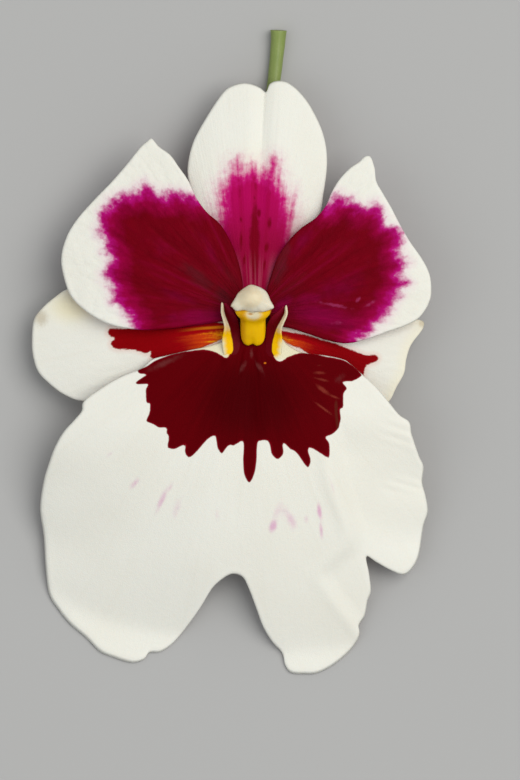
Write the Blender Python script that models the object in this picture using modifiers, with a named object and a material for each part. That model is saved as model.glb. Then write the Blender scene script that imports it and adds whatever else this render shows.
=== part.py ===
"""A pansy orchid bloom, picked with its own stalk and laid on its back on a flat surface.

The bloom faces +Z, with its dorsal sepal towards +Y and its lip towards -Y. The ovary bends under
the bloom and the stalk lies along the surface behind the dorsal sepal. Three sepals, two petals and
the lip are separate blades that sit in two layers on the receptacle, round the column. The column
carries the anther cap, which covers the pollinarium. Lengths are in millimetres until the meshes
are made, which are in metres.
"""

import math

import bmesh
import bpy
import numpy as np

MM = 0.001

# Layers, from the surface up
BLADE_THICKNESS = 0.7
SEAT_GAP = 0.3
RECEPTACLE_TOP = 9.0
SEPAL_LEVEL = RECEPTACLE_TOP + SEAT_GAP + BLADE_THICKNESS / 2
PETAL_LEVEL = SEPAL_LEVEL + BLADE_THICKNESS + SEAT_GAP
COLUMN_FOOT = RECEPTACLE_TOP + SEAT_GAP
COLUMN_HEIGHT = 8.0
CAP_LEVEL = COLUMN_FOOT + COLUMN_HEIGHT + SEAT_GAP

# The middle of the column's foot, which puts the origin at the middle of the whole bloom's box
BLOOM_CENTRE = (3.8, 5.6)

# Outlines, in millimetres from the middle of the column's foot, each a closed ring
DORSAL_SEPAL_RIM = [
    (1.9, 3.0), (3.9, 7.9), (7.5, 12.3), (11.4, 17.9), (12.4, 22.4), (13.0, 28.0), (12.3, 32.7),
    (10.2, 37.3), (8.1, 40.1), (6.1, 41.7), (4.4, 42.0), (3.0, 41.5), (2.3, 40.1), (1.2, 40.8),
    (-0.2, 41.4), (-1.8, 41.6), (-3.7, 41.1), (-5.3, 39.9), (-8.1, 35.7), (-10.5, 31.2),
    (-11.5, 26.6), (-11.0, 23.3), (-9.3, 18.7), (-6.1, 13.1), (-3.0, 7.9), (-1.4, 3.0),
]
LEFT_SEPAL_RIM = [
    (-2.9, -0.4), (-6.0, 1.5), (-14.0, 5.0), (-22.0, 6.5), (-29.0, 6.4), (-32.7, 5.4), (-35.5, 3.5),
    (-37.5, 1.6), (-38.5, 0.0), (-38.8, -2.8), (-38.7, -5.8), (-37.8, -8.9), (-35.7, -11.2),
    (-33.1, -13.1), (-29.9, -14.2), (-25.0, -13.7), (-18.0, -11.4), (-11.0, -7.3), (-5.0, -3.7),
    (-2.9, -2.2),
]
RIGHT_SEPAL_RIM = [
    (2.9, -2.2), (5.6, -5.3), (10.9, -10.2), (17.0, -14.4), (21.4, -15.4), (23.8, -14.3),
    (25.2, -11.7), (26.5, -9.3), (26.9, -6.8), (27.7, -4.4), (29.4, -2.1), (29.9, -1.2),
    (29.9, -0.3), (28.5, 0.2), (24.0, 0.6), (16.0, 0.8), (8.0, 0.2), (2.9, -0.4),
]
LEFT_PETAL_RIM = [
    (-3.2, 0.0), (-2.5, 2.0), (-2.2, 4.2), (-1.8, 6.5), (-3.0, 11.6), (-5.4, 16.3), (-8.1, 18.9),
    (-9.8, 21.2), (-11.4, 24.5), (-13.0, 26.8), (-14.5, 28.9), (-16.3, 30.3), (-17.8, 31.6),
    (-18.6, 31.5), (-19.8, 30.3), (-22.1, 27.3), (-24.7, 24.3), (-27.7, 21.2), (-30.8, 17.7),
    (-32.7, 14.5), (-33.6, 10.9), (-33.1, 7.4), (-31.7, 3.9), (-28.5, 1.0), (-24.7, -0.9),
    (-19.8, -1.7), (-14.5, -1.6), (-9.3, -0.9), (-4.9, -0.2),
]
RIGHT_PETAL_RIM = [
    (3.2, 0.0), (4.7, -1.0), (7.0, -1.6), (9.8, -2.5), (12.8, -3.5), (16.3, -4.1), (20.1, -3.3),
    (23.5, -2.1), (27.1, -0.8), (29.4, 0.7), (31.0, 3.5), (31.2, 6.3), (30.7, 8.6), (29.4, 11.0),
    (27.5, 13.7), (25.7, 16.8), (24.2, 19.7), (22.8, 22.1), (21.6, 24.3), (21.3, 26.6), (20.7, 28.4),
    (20.1, 28.8), (19.4, 28.5), (18.6, 27.7), (17.0, 26.6), (15.2, 24.7), (13.8, 22.4), (12.8, 20.1),
    (11.0, 17.9), (8.2, 15.9), (5.8, 13.3), (4.2, 10.7), (3.2, 7.9), (2.4, 5.0), (2.5, 2.0),
]
LIP_RIM = [
    (-3.8, -2.8), (-5.1, -3.7), (-7.9, -4.6), (-11.2, -5.3), (-15.1, -6.2), (-17.7, -6.9),
    (-19.6, -8.5), (-22.9, -9.8), (-26.4, -11.8), (-29.6, -14.2), (-30.0, -15.9), (-31.3, -17.5),
    (-33.2, -19.6), (-34.7, -22.2), (-35.9, -25.4), (-36.8, -28.5), (-37.4, -33.1), (-36.8, -37.8),
    (-36.5, -42.9), (-35.9, -48.0), (-34.3, -50.8), (-32.2, -53.4), (-29.4, -55.8), (-27.0, -58.2),
    (-24.5, -59.3), (-21.4, -60.2), (-19.3, -59.7), (-18.3, -58.5), (-16.3, -58.3), (-14.0, -56.7),
    (-11.6, -53.8), (-9.2, -50.4), (-7.2, -47.1), (-5.1, -45.2), (-3.5, -44.5), (-1.9, -45.0),
    (-0.9, -46.7), (0.4, -50.1), (1.8, -53.9), (3.5, -56.7), (5.1, -58.5), (5.7, -60.8), (6.8, -62.0),
    (8.9, -62.2), (11.4, -62.0), (14.4, -60.4), (17.3, -57.8), (18.7, -55.3), (18.6, -53.7),
    (19.6, -52.0), (20.1, -49.4), (20.7, -47.6), (20.4, -44.6), (19.9, -41.5), (21.7, -42.5),
    (24.2, -43.9), (26.4, -44.7), (27.8, -43.8), (29.1, -41.3), (29.9, -36.4), (30.7, -33.6),
    (30.3, -30.8), (29.7, -28.5), (29.9, -25.7), (29.1, -23.8), (27.8, -20.0), (27.4, -17.9),
    (25.6, -16.6), (23.8, -14.4), (21.4, -11.6), (19.1, -9.5), (17.3, -7.9), (15.8, -6.9),
    (12.6, -6.2), (8.6, -5.7), (6.1, -4.4), (3.9, -2.8),
]

# The lip's ridge line seen from the side rises from the neck to its crest and then bends down to
# the surface, at these distances below the column
LIP_NECK, LIP_CREST, LIP_END = 2.6, 18.0, 60.0
LIP_RISE = 2.9
LIP_DESCENT = 14.0
# Where the lip's right lobe comes out from under its front, as distance below the column and to
# the right
LIP_FOLD = [(16.5, 13.2), (20.0, 13.6), (28.0, 14.9), (35.9, 17.5), (39.4, 17.2), (42.2, 14.4),
            (44.6, 12.6), (47.4, 13.8), (50.2, 15.8), (53.7, 18.6), (57.0, 21.0)]
FOLD_DROP = 1.9
RUFFLE_HEIGHT = 0.55
RUFFLE_LENGTH = 11.0
LIP_LOWEST = BLADE_THICKNESS / 2
# The flat spot the left lobe lies on
REST_SPOT = (-20.5, -55.6)
REST_RADIUS, REST_BLEND = 5.0, 2.5

# The right ear of the lip: the line it grows from and its free edge, from the blade to its tip
EAR_ROOT = [(3.4, -7.2, 11.3), (2.8, -4.9, 10.9), (2.7, -3.0, 10.8), (2.9, -1.6, 11.3),
            (3.4, -0.4, 12.2), (4.4, 1.2, 13.5), (5.1, 2.8, 14.6)]
EAR_EDGE = [(4.7, -6.6, 12.0), (3.8, -4.6, 12.4), (3.9, -2.8, 12.9), (4.2, -1.5, 13.4),
            (4.6, -0.3, 13.9), (5.1, 1.5, 14.5), (5.4, 3.2, 15.1)]

# Ovary and stalk, as place of the centre line and radius
STALK_LINE = [
    (0.0, 0.0, 9.0, 3.9), (0.0, 0.0, 8.5, 3.6), (0.0, 0.0, 7.8, 2.5), (0.0, 0.1, 6.8, 2.0),
    (0.0, 0.7, 5.2, 1.8), (0.0, 1.9, 3.7, 1.75), (0.0, 3.7, 2.6, 1.7), (0.0, 6.2, 1.9, 1.65),
    (0.1, 9.5, 1.6, 1.6), (0.4, 14.0, 1.5, 1.5), (0.9, 19.0, 1.4, 1.4), (1.5, 25.0, 1.25, 1.25),
    (2.4, 32.0, 1.2, 1.2), (3.3, 39.0, 1.15, 1.15), (4.0, 45.0, 1.2, 1.2), (4.4, 49.0, 1.3, 1.3),
    (4.5, 51.0, 1.45, 1.45),
]

# Rings of the column and of the plate before it: height over the foot, half width, front and back
COLUMN_RINGS = [
    (0.0, 1.9, -1.3, 2.0), (1.4, 1.9, -1.4, 2.4), (2.1, 1.95, -1.45, 2.6), (2.15, 2.05, -4.35, 2.7),
    (3.0, 2.1, -4.2, 3.0), (4.2, 2.1, -2.9, 3.7), (5.2, 2.15, -1.5, 4.4), (6.2, 2.8, -0.6, 5.0),
    (7.0, 3.3, -0.2, 5.2), (7.6, 3.2, 0.2, 5.2), (8.0, 2.8, 0.9, 4.9),
]
COLUMN_SIDES = 24
COLUMN_SQUARENESS = 2.8
PLATE_NOTCH = 0.5
STIGMA_PLACE = (-0.2, 0.5, 17.35)
STIGMA_RADIUS = 0.75

# The anther cap's outline, and its rings down the outside and up the hollow: share of the way from
# its heart to the outline, and height over the brim
CAP_RIM = [
    (-0.4, 6.15), (-1.45, 5.65), (-2.6, 4.7), (-3.2, 3.7), (-3.9, 2.5), (-3.6, 2.1), (-2.9, 1.5),
    (-1.7, 1.65), (-0.9, 1.5), (0.0, 1.3), (1.0, 1.4), (1.75, 1.35), (2.8, 1.65), (3.7, 2.15),
    (3.1, 3.4), (2.6, 4.55), (2.05, 5.2), (1.0, 5.8),
]
CAP_HEART = (0.0, 3.7)
CAP_RINGS = [
    (0.14, 2.88), (0.36, 2.6), (0.54, 2.05), (0.68, 1.45), (0.84, 1.0), (0.96, 0.6), (1.0, 0.25),
    (0.98, 0.0), (0.6, 0.0), (0.56, 1.0), (0.42, 1.65), (0.14, 1.95),
]
# Half of the two pollinia, as radius and distance from the waist between them
POLLINIA_HALF = [(0.38, 1.05), (0.58, 0.75), (0.6, 0.5), (0.45, 0.2), (0.3, 0.0)]


def smoothstep(low, high, value):
    """0 up to low, 1 from high on, and a smooth rise between."""
    share = np.clip((value - low) / (high - low), 0.0, 1.0)
    return share * share * (3.0 - 2.0 * share)


def even_rim(points, count):
    """count points spaced evenly along the closed smooth curve through points (Catmull-Rom)."""
    ring = np.array(points, float)
    before, after, later = np.roll(ring, 1, 0), np.roll(ring, -1, 0), np.roll(ring, -2, 0)
    t = np.linspace(0.0, 1.0, 12, endpoint=False)[:, None, None]
    curve = 0.5 * (2 * ring + (after - before) * t
                   + (2 * before - 5 * ring + 4 * after - later) * t**2
                   + (3 * ring - before - 3 * after + later) * t**3)
    curve = curve.transpose(1, 0, 2).reshape(-1, 2)
    closed = np.vstack([curve, curve[:1]])
    run = np.concatenate([[0.0], np.cumsum(np.hypot(*np.diff(closed, axis=0).T))])
    wanted = np.linspace(0.0, run[-1], count, endpoint=False)
    return np.stack([np.interp(wanted, run, closed[:, axis]) for axis in (0, 1)], axis=1)


def way_round(a, b):
    """Share of the way round a square's edge where the ray from its middle through (a, b) leaves."""
    reach = np.maximum(np.maximum(np.abs(a), np.abs(b)), 1e-9)
    a, b = a / reach, b / reach
    side = np.select([b <= -1 + 1e-9, a >= 1 - 1e-9, b >= 1 - 1e-9], [0.0, 1.0, 2.0], 3.0)
    along = np.select([side == 0, side == 1, side == 2], [a, b, -a], -b)
    return (side + (along + 1.0) / 2.0) / 4.0


def dorsal_sepal_height(x, y):
    """A shallow arch that bends back at the tip and the margins, with a groove along the midrib."""
    along = y / 42.0
    arch = SEPAL_LEVEL + 0.6 * np.sin(math.pi * np.clip(along, 0.0, 1.0)) - 3.4 * along**3
    margins = 1.6 * (x / 12.0) ** 2 * smoothstep(4.0, 20.0, y)
    groove = 0.7 * np.exp(-((x - 0.05 * y) / 1.6) ** 2) * smoothstep(12.0, 30.0, y)
    return arch - margins - groove


def lateral_sepal_height(x, y):
    """A blade that runs out level and then bends back towards its tip."""
    out = np.hypot(x, y)
    return SEPAL_LEVEL - 0.0034 * np.maximum(out - 3.0, 0.0) ** 2 - 0.006 * (y + 4.0) ** 2


def petal_height(x, y):
    """A blade that lifts off the sepals near the column and bends back towards its margin."""
    out = np.maximum(np.hypot(x, y) - 3.0, 0.0)
    return PETAL_LEVEL + 0.12 * out - 0.0050 * out**2


def lip_height(x, y):
    """The ridge line falls away to both sides, the right lobe drops behind the fold, and the outer
    margins are ruffled."""
    rise = LIP_RISE * smoothstep(LIP_NECK, LIP_CREST + 2.0, -y)
    past = np.maximum(-y - LIP_CREST, 0.0) / (LIP_END - LIP_CREST)
    ridge = PETAL_LEVEL + rise - LIP_DESCENT * past**1.8
    fall = (0.0025 + 0.003 * np.exp(-(((y + 36.0) / 14.0) ** 2))) * x**2
    behind = x - np.interp(-y, *np.array(LIP_FOLD).T)
    drop = FOLD_DROP * smoothstep(-1.5, 2.3, behind) * smoothstep(-14.0, -24.0, y)
    margin = smoothstep(17.0, 30.0, x) + smoothstep(26.0, 38.0, -x)
    ruffle = RUFFLE_HEIGHT * np.sin(2.0 * math.pi * (y + 3.0) / RUFFLE_LENGTH) * margin
    level = np.maximum(ridge - fall - drop + ruffle, LIP_LOWEST)
    resting = smoothstep(REST_RADIUS + REST_BLEND, REST_RADIUS,
                         np.hypot(x - REST_SPOT[0], y - REST_SPOT[1]))
    return level + (LIP_LOWEST - level) * resting


def material(name, colour, roughness):
    """A plain Principled material."""
    made = bpy.data.materials.new(name)
    made.use_nodes = True
    shader = made.node_tree.nodes["Principled BSDF"]
    shader.inputs["Base Color"].default_value = (*colour, 1.0)
    shader.inputs["Roughness"].default_value = roughness
    shader.inputs["Metallic"].default_value = 0.0
    made.diffuse_color = (*colour, 1.0)
    return made


def keep(name, mesh, collection, bloom, finish=None):
    """An object for this mesh, in its collection and parented to the bloom's empty."""
    made = bpy.data.objects.new(name, mesh)
    collection.objects.link(made)
    made.parent = bloom
    if finish is not None:
        made.data.materials.append(finish)
    return made


def mesh_of(name, bm):
    """The bmesh as a mesh."""
    mesh = bpy.data.meshes.new(name)
    bm.to_mesh(mesh)
    bm.free()
    return mesh


def solidify(piece, thickness):
    """Gives an open surface its thickness, half to each side."""
    wall = piece.modifiers.new("thickness", "SOLIDIFY")
    wall.thickness = thickness * MM
    wall.offset = 0.0


def blade_mesh(name, rim, heart, height, cells):
    """A square grid whose edge is laid on the rim, with heart as its middle, at height(x, y)."""
    bm = bmesh.new()
    bmesh.ops.create_grid(bm, x_segments=cells, y_segments=cells, size=1.0)
    square = np.array([vertex.co[:2] for vertex in bm.verts])
    square /= np.abs(square).max()
    ring = even_rim(rim, 4 * cells)
    ring = np.vstack([ring, ring[:1]])
    place = way_round(square[:, 0], square[:, 1]) * 4 * cells
    edge = np.stack([np.interp(place, np.arange(4 * cells + 1), ring[:, axis]) for axis in (0, 1)], 1)
    reach = np.abs(square).max(axis=1)[:, None]
    plan = np.array(heart) + reach * (edge - np.array(heart))
    level = height(plan[:, 0], plan[:, 1])
    for vertex, (x, y), z in zip(bm.verts, plan, level):
        vertex.co = (x * MM, y * MM, z * MM)
    bmesh.ops.triangulate(bm, faces=bm.faces[:], quad_method="BEAUTY")
    return mesh_of(name, bm)


def blade(name, rim, heart, height, cells, finish, collection, bloom):
    """One sepal, petal or lip: a thin blade of even thickness."""
    piece = keep(name, blade_mesh(name, rim, heart, height, cells), collection, bloom, finish)
    solidify(piece, BLADE_THICKNESS)
    return piece


def auricle(side, collection, bloom):
    """The thin ear that rises from the lip's neck beside the column. side is -1 or 1."""
    bm = bmesh.new()
    lines = np.array([EAR_ROOT, EAR_EDGE])
    rows = [lines[0] + share * (lines[1] - lines[0]) for share in (0.0, 0.5, 1.0)]
    grid = [[bm.verts.new((side * x * MM, y * MM, z * MM)) for x, y, z in row] for row in rows]
    for lower, upper in zip(grid[:-1], grid[1:]):
        for corners in zip(lower[:-1], lower[1:], upper[1:], upper[:-1]):
            bm.faces.new(corners)
    bmesh.ops.triangulate(bm, faces=bm.faces[:], quad_method="BEAUTY")
    piece = keep(f"auricle_{'left' if side < 0 else 'right'}", mesh_of("auricle", bm), collection, bloom)
    solidify(piece, BLADE_THICKNESS - 0.1)
    return piece


def lip(finish, collection, helpers, bloom):
    """The lip: its blade, with the auricles grown from its neck."""
    piece = blade("lip", LIP_RIM, (0.35, -14.0), lip_height, 28, finish, collection, bloom)
    for grown in (auricle(-1, helpers, bloom), auricle(1, helpers, bloom)):
        grown.hide_render = True
        grown.display_type = "WIRE"
        join = piece.modifiers.new(grown.name, "BOOLEAN")
        join.operation = "UNION"
        join.object = grown
    return piece


def turned(name, profile, steps, finish, collection, bloom):
    """A profile of radius and height, top to bottom on its outer side, turned about Z."""
    mesh = bpy.data.meshes.new(name)
    mesh.from_pydata([(r * MM, 0.0, z * MM) for r, z in profile],
                     [(i, i + 1) for i in range(len(profile) - 1)], [])
    piece = keep(name, mesh, collection, bloom, finish)
    screw = piece.modifiers.new("turn", "SCREW")
    screw.steps = screw.render_steps = steps
    screw.use_merge_vertices = True
    screw.merge_threshold = 0.00001
    return piece


def ringed(name, rings, finish, collection, bloom):
    """A closed piece from rings of places, foot to top and anticlockwise from above, that is filled
    at both ends."""
    rows, sides = rings.shape[:2]
    index = np.arange(rows * sides).reshape(rows, sides)
    nxt = np.roll(index, -1, axis=1)
    walls = np.stack([index[:-1], nxt[:-1], nxt[1:], index[1:]], axis=-1).reshape(-1, 4)
    mesh = bpy.data.meshes.new(name)
    mesh.from_pydata((rings.reshape(-1, 3) * MM).tolist(), [],
                     walls.tolist() + [index[0, ::-1].tolist(), index[-1].tolist()])
    return keep(name, mesh, collection, bloom, finish)


def column(finish, collection, helpers, bloom):
    """The short column, which widens to its tip and leans towards the dorsal sepal, with the notched
    plate that slopes down before it and the hollow of the stigma under the cap."""
    turn = np.arange(COLUMN_SIDES) * 2 * math.pi / COLUMN_SIDES
    power = 2 / COLUMN_SQUARENESS
    across = np.sign(np.cos(turn).round(9)) * np.abs(np.cos(turn)) ** power
    along = np.sign(np.sin(turn).round(9)) * np.abs(np.sin(turn)) ** power
    height, wide, front, back = (values[:, None] for values in np.array(COLUMN_RINGS).T)
    x = wide * across
    y = (front + back) / 2 + (back - front) / 2 * along
    y = y + PLATE_NOTCH * (np.abs(x) < 0.3) * (along < 0) * smoothstep(4.4, 3.6, height)
    rings = np.stack([x, y, COLUMN_FOOT + height + 0 * x], axis=-1)
    piece = ringed("column", rings, finish, collection, bloom)
    bm = bmesh.new()
    bmesh.ops.create_icosphere(bm, subdivisions=2, radius=STIGMA_RADIUS * MM)
    hollow = keep("stigma_hollow", mesh_of("stigma_hollow", bm), helpers, bloom)
    hollow.location = [place * MM for place in STIGMA_PLACE]
    hollow.hide_render = True
    hollow.display_type = "WIRE"
    cut = piece.modifiers.new("stigma", "BOOLEAN")
    cut.operation = "DIFFERENCE"
    cut.object = hollow
    return piece


def anther_cap(finish, collection, bloom):
    """A helmet with a round crown and two wings, hollow for the pollinarium."""
    rim, heart = np.array(CAP_RIM), np.array(CAP_HEART)
    share, height = np.array(CAP_RINGS)[::-1].T[:, :, None]
    plan = heart + share[..., None] * (rim - heart)
    level = CAP_LEVEL + height + np.zeros(len(rim))
    rings = np.concatenate([plan, level[..., None]], axis=-1)
    return ringed("anther_cap", rings, finish, collection, bloom)


def pollinarium(finish, collection, bloom):
    """Two waxy pollinia side by side, joined at a narrow waist."""
    profile = [(0.0, 1.15)] + POLLINIA_HALF + [(r, -z) for r, z in POLLINIA_HALF[-2::-1]] + [(0.0, -1.15)]
    piece = turned("pollinarium", profile, 14, finish, collection, bloom)
    piece.rotation_euler.y = math.pi / 2
    piece.location = (0.0, CAP_HEART[1] * MM, (CAP_LEVEL + 0.75) * MM)
    return piece


def stalk(finish, collection, bloom):
    """The stalk with the ovary as its thick end, one tube that flares to the receptacle."""
    curve = bpy.data.curves.new("stalk_with_ovary", "CURVE")
    curve.dimensions = "3D"
    curve.bevel_depth = MM
    curve.bevel_resolution = 3
    curve.use_fill_caps = True
    spline = curve.splines.new("POLY")
    spline.points.add(len(STALK_LINE) - 1)
    for point, (x, y, z, radius) in zip(spline.points, STALK_LINE):
        point.co = (x * MM, y * MM, z * MM, 1.0)
        point.radius = radius
    piece = bpy.data.objects.new("stalk_with_ovary", curve)
    collection.objects.link(piece)
    piece.parent = bloom
    curve.materials.append(finish)
    return piece


def main():
    for obj in list(bpy.data.objects):
        bpy.data.objects.remove(obj)
    collection = bpy.data.collections.new("pansy_orchid_bloom")
    helpers = bpy.data.collections.new("ears_and_hollow")
    for made in (collection, helpers):
        bpy.context.scene.collection.children.link(made)
    bloom = bpy.data.objects.new("bloom", None)
    bloom.location = (BLOOM_CENTRE[0] * MM, BLOOM_CENTRE[1] * MM, 0.0)
    collection.objects.link(bloom)

    white = material("sepal_white", (0.86, 0.84, 0.76), 0.5)
    crimson = material("petal_crimson", (0.36, 0.0, 0.07), 0.45)
    lip_white = material("lip_white", (0.85, 0.84, 0.78), 0.5)
    yellow = material("column_yellow", (0.86, 0.55, 0.03), 0.4)
    cream = material("anther_cream", (0.84, 0.78, 0.62), 0.35)
    wax = material("pollen_wax", (0.85, 0.6, 0.1), 0.4)
    green = material("stalk_green", (0.32, 0.4, 0.12), 0.5)

    stalk(green, collection, bloom)
    blade("dorsal_sepal", DORSAL_SEPAL_RIM, (1.5, 14.0), dorsal_sepal_height, 13, white,
          collection, bloom)
    blade("lateral_sepal_left", LEFT_SEPAL_RIM, (-16.0, -2.0), lateral_sepal_height, 12, white,
          collection, bloom)
    blade("lateral_sepal_right", RIGHT_SEPAL_RIM, (16.0, -6.5), lateral_sepal_height, 11, white,
          collection, bloom)
    blade("petal_left", LEFT_PETAL_RIM, (-17.0, 14.0), petal_height, 14, crimson, collection, bloom)
    blade("petal_right", RIGHT_PETAL_RIM, (17.0, 14.0), petal_height, 14, crimson, collection, bloom)
    lip(lip_white, collection, helpers, bloom)
    column(yellow, collection, helpers, bloom)
    pollinarium(wax, collection, bloom)
    anther_cap(cream, collection, bloom)
    for piece in collection.objects:
        if piece.name in ("column", "anther_cap", "pollinarium"):
            piece.data.shade_smooth()


main()
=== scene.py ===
"""Dresses the pansy orchid bloom: its blades, column and stalk as fine meshes with their own
materials, on a pale floor in soft light, with the camera looking down into its face.

Shapes are worked out in millimetres from the middle of the column's foot, as arrays over a grid,
and are put into the meshes in metres. +X is the bloom's right, +Y runs to the dorsal sepal and +Z
out of its face.
"""

import math

import bpy
import numpy as np
from bpy.props import FloatProperty, FloatVectorProperty, IntProperty, PointerProperty
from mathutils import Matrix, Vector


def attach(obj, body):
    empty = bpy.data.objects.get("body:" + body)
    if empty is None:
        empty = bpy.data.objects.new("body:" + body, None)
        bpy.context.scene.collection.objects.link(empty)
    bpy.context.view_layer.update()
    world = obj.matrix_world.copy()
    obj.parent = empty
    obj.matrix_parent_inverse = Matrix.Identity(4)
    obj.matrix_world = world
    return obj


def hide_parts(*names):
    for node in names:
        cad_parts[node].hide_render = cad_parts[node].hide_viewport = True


bl_info = {
    "name": "Pansy orchid bloom",
    "version": (1, 0, 0),
    "blender": (4, 5, 0),
    "location": "View3D > Sidebar > Orchid",
    "description": "Builds the sepals, petals, lip, column and stalk of a pansy orchid bloom",
    "category": "Add Mesh",
}

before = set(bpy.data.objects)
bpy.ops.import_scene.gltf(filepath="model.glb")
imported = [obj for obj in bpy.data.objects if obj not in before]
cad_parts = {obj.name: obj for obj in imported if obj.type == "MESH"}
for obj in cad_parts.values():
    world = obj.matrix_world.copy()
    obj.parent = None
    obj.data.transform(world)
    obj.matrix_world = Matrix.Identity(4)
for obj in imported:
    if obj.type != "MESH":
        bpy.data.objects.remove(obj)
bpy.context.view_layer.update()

# Metres in a millimetre, where the column's foot stands in the frame, and the levels of the roots
# of the sepals and petals and of the lip's lowest margin
MM = 0.001
FOOT = np.array([3.8, 5.6, 0.0])
SEPAL_LEVEL = 9.65
PETAL_LEVEL = 10.65
LIP_LOWEST = 0.35
ON_RIM = 1.0 - 1e-9

# The picture's width and height, where the column's foot is in it, and the level above the floor
# at which its scale holds
PICTURE = (520, 780)
FOOT_IN_PICTURE = (253, 320)
SCALE_LEVEL = 0.011
FLOOR_HALF = 1.5
FLOOR_DROP = 0.0001

# Outlines of the blades, as closed rings
DORSAL_SEPAL_RIM = [
    (1.9, 3.0), (3.9, 7.9), (7.5, 12.3), (11.4, 17.9), (12.4, 22.4), (13.0, 28.0), (12.3, 32.7),
    (10.2, 37.3), (8.1, 40.1), (6.1, 41.7), (4.4, 42.0), (3.0, 41.5), (2.3, 40.1), (1.2, 40.8),
    (-0.2, 41.4), (-1.8, 41.6), (-3.7, 41.1), (-5.3, 39.9), (-8.1, 35.7), (-10.5, 31.2),
    (-11.5, 26.6), (-11.0, 23.3), (-9.3, 18.7), (-6.1, 13.1), (-3.0, 7.9), (-1.4, 3.0),
]
LEFT_SEPAL_RIM = [
    (-2.9, -0.4), (-6.0, 1.5), (-14.0, 5.0), (-22.0, 6.5), (-29.0, 6.4), (-32.7, 5.4), (-35.5, 3.5),
    (-37.5, 1.6), (-38.5, 0.0), (-38.8, -2.8), (-38.7, -5.8), (-37.8, -8.9), (-35.7, -11.2),
    (-33.1, -13.1), (-29.9, -14.2), (-25.0, -13.7), (-18.0, -11.4), (-11.0, -7.3), (-5.0, -3.7),
    (-2.9, -2.2),
]
RIGHT_SEPAL_RIM = [
    (2.9, -2.2), (5.6, -5.3), (10.9, -10.2), (17.0, -14.4), (21.4, -15.4), (23.8, -14.3),
    (25.2, -11.7), (26.5, -9.3), (26.9, -6.8), (27.7, -4.4), (29.4, -2.1), (29.9, -1.2),
    (29.9, -0.3), (28.5, 0.2), (24.0, 0.6), (16.0, 0.8), (8.0, 0.2), (2.9, -0.4),
]
LEFT_PETAL_RIM = [
    (-3.2, 0.0), (-2.5, 2.0), (-2.2, 4.2), (-1.8, 6.5), (-3.0, 11.6), (-5.4, 16.3), (-8.1, 18.9),
    (-9.8, 21.2), (-11.4, 24.5), (-13.0, 26.8), (-14.5, 28.9), (-16.5, 30.4), (-17.75, 31.8),
    (-18.5, 31.35), (-19.8, 30.2), (-22.1, 27.3), (-24.7, 24.3), (-27.7, 21.2), (-30.8, 17.7),
    (-32.7, 14.5), (-33.6, 10.9), (-33.1, 7.4), (-31.7, 3.9), (-28.5, 1.0), (-24.7, -0.9),
    (-19.8, -1.7), (-14.5, -1.6), (-9.3, -0.9), (-4.9, -0.2),
]
RIGHT_PETAL_RIM = [
    (3.2, 0.0), (4.7, -1.0), (7.0, -1.6), (9.8, -2.5), (12.8, -3.5), (16.3, -4.1), (20.1, -3.3),
    (23.5, -2.1), (27.1, -0.8), (29.4, 0.7), (31.0, 3.5), (31.2, 6.3), (30.7, 8.6), (29.4, 11.0),
    (27.5, 13.7), (25.7, 16.8), (24.2, 19.7), (22.8, 22.1), (21.6, 24.3), (21.3, 26.6),
    (20.7, 28.4), (20.1, 28.8), (19.4, 28.5), (18.6, 27.7), (17.0, 26.6), (15.2, 24.7),
    (13.8, 22.4), (12.8, 20.1), (11.0, 17.9), (8.2, 15.9), (5.8, 13.3), (4.2, 10.7), (3.2, 7.9),
    (2.4, 5.0), (2.5, 2.0),
]
LIP_RIM = [
    (-3.8, -2.8), (-5.1, -3.7), (-7.9, -4.6), (-11.2, -5.3), (-15.1, -6.2), (-17.7, -6.9),
    (-19.6, -8.5), (-22.9, -9.8), (-26.4, -11.8), (-29.6, -14.2), (-30.0, -15.9), (-31.3, -17.5),
    (-33.2, -19.6), (-34.7, -22.2), (-35.9, -25.4), (-36.8, -28.5), (-37.4, -33.1), (-36.8, -37.8),
    (-36.5, -42.9), (-35.9, -48.0), (-34.3, -50.8), (-32.2, -53.4), (-29.4, -55.8), (-27.0, -58.2),
    (-24.5, -59.3), (-21.4, -60.2), (-19.3, -59.7), (-18.3, -58.5), (-16.3, -58.3), (-14.0, -56.7),
    (-11.6, -53.8), (-9.2, -50.4), (-7.2, -47.1), (-5.1, -45.2), (-3.5, -44.5), (-1.9, -45.0),
    (-0.9, -46.7), (0.4, -50.1), (1.8, -53.9), (3.5, -56.7), (5.1, -58.5), (5.7, -60.8),
    (6.8, -62.0), (8.9, -62.2), (11.4, -62.0), (14.4, -60.4), (17.3, -57.8), (18.7, -55.3),
    (18.6, -53.7), (19.6, -52.0), (20.1, -49.4), (20.7, -47.6), (20.4, -44.6), (19.9, -41.5),
    (21.7, -42.5), (24.2, -43.9), (26.4, -44.7), (27.8, -43.8), (29.1, -41.3), (29.9, -36.4),
    (30.7, -33.6), (30.3, -30.8), (29.7, -28.5), (29.9, -25.7), (29.1, -23.8), (27.8, -20.0),
    (27.4, -17.9), (25.6, -16.6), (23.8, -14.4), (21.4, -11.6), (19.1, -9.5), (17.3, -7.9),
    (15.8, -6.9), (12.6, -6.2), (8.6, -5.7), (6.1, -4.4), (3.9, -2.8),
]

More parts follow.
